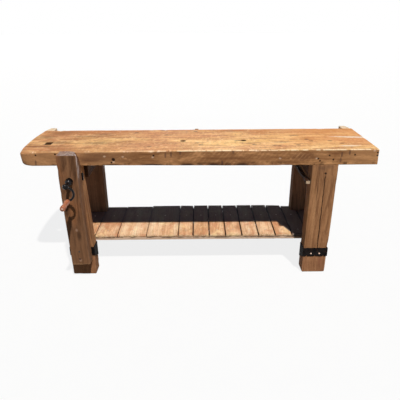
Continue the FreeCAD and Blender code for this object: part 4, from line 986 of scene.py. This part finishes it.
def floor_finish():
    """White with the object's shadow to the camera, warm grey to the light that it throws back."""
    f = Finish("floor")
    ray = f.add("ShaderNodeLightPath").outputs
    shown_to = f.most(*(ray[kind] for kind in SEEN_BY))
    grain = f.speckle(f.place.outputs["Object"], 9.0, 4.0)
    f.tree.links.new(f.ramp(grain, [(0.3, (0.125, 0.125, 0.125, 1)), (0.7, (0.13, 0.13, 0.13, 1))]),
                     f.shader.inputs["Base Color"])
    f.shader.inputs["Roughness"].default_value = 0.9
    f.shader.inputs["Specular IOR Level"].default_value = 0.1
    glow = f.add("ShaderNodeEmission", {"Color": (1, 1, 1, 1), "Strength": 0.83})
    both = f.add("ShaderNodeAddShader", {0: f.shader.outputs[0], 1: glow.outputs[0]})
    plain = f.add("ShaderNodeBsdfDiffuse", {"Color": (0.2, 0.185, 0.165, 1)})
    pick = f.add("ShaderNodeMixShader", {0: shown_to, 1: plain.outputs[0], 2: both.outputs[0]})
    f.tree.links.new(pick.outputs[0], f.out.inputs["Surface"])
    return f.material


def studio():
    """A world that is white where it is seen, and a dim blue light elsewhere."""
    world = bpy.data.worlds.new("studio")
    bpy.context.scene.world = world
    world.use_nodes = True
    nodes, links = world.node_tree.nodes, world.node_tree.links
    nodes.clear()
    ray, out = nodes.new("ShaderNodeLightPath"), nodes.new("ShaderNodeOutputWorld")
    pick = nodes.new("ShaderNodeMixShader")
    shown_to = ray.outputs[SEEN_BY[0]]
    for kind in SEEN_BY[1:]:
        more = nodes.new("ShaderNodeMath")
        more.operation = "MAXIMUM"
        links.new(shown_to, more.inputs[0])
        links.new(ray.outputs[kind], more.inputs[1])
        shown_to = more.outputs[0]
    links.new(shown_to, pick.inputs[0])
    for socket, (colour, strength) in enumerate((((0.5, 0.72, 1.0, 1), 0.12), ((1, 1, 1, 1), 1.0)), 1):
        sky = nodes.new("ShaderNodeBackground")
        sky.inputs["Color"].default_value = colour
        sky.inputs["Strength"].default_value = strength
        links.new(sky.outputs[0], pick.inputs[socket])
    links.new(pick.outputs[0], out.inputs["Surface"])


def sun(name, direction, strength, angle, colour):
    data = bpy.data.lights.new(name, "SUN")
    data.energy, data.angle, data.color = strength, math.radians(angle), colour
    lamp = bpy.data.objects.new(name, data)
    lamp.rotation_mode = "QUATERNION"
    lamp.rotation_quaternion = Vector(direction).to_track_quat("-Z", "Y")
    bpy.context.scene.collection.objects.link(lamp)


def photo_camera():
    """The camera stands where the photograph was taken; its angles and lens were fitted to it."""
    pitch, roll, yaw = math.radians(23.2266), math.radians(-0.43966), math.radians(0.095443)
    right = Vector((math.cos(yaw), -math.sin(yaw), 0))
    ahead = Vector((math.sin(yaw) * math.cos(pitch), math.cos(yaw) * math.cos(pitch), -math.sin(pitch)))
    down = ahead.cross(right)
    across = math.cos(roll) * right - math.sin(roll) * down
    fall = math.sin(roll) * right + math.cos(roll) * down
    view = bpy.data.cameras.new("camera")
    view.lens, view.sensor_width, view.sensor_fit = 38.919, 36.0, "HORIZONTAL"
    view.clip_start, view.clip_end = 0.05, 200
    camera = bpy.data.objects.new("camera", view)
    turn = Matrix((across, -fall, -ahead)).transposed().to_4x4()
    camera.matrix_world = Matrix.Translation((0.00562, -2.62326, 1.5939)) @ turn
    bpy.context.scene.collection.objects.link(camera)
    bpy.context.scene.camera = camera


ground = bpy.data.meshes.new("floor")
ground.from_pydata([(-40, -40, 0), (40, -40, 0), (40, 40, 0), (-40, 40, 0)], [], [(0, 1, 2, 3)])
floor = bpy.data.objects.new("floor", ground)
bpy.context.scene.collection.objects.link(floor)
ground.materials.append(floor_finish())
studio()
sun("key", (-0.4, 1.0, -1.745), 3.65, 1.5, (1.0, 0.97, 0.92))
sun("back", (0.0, -1.0, -0.01), 1.1, 1.0, (0.95, 0.97, 1.0))
for to_side in (-1, 1):
    sun("side", (to_side, 0.0, -0.01), 0.2, 1.0, (0.95, 0.97, 1.0))
photo_camera()
bpy.context.scene.view_settings.view_transform = "Standard"
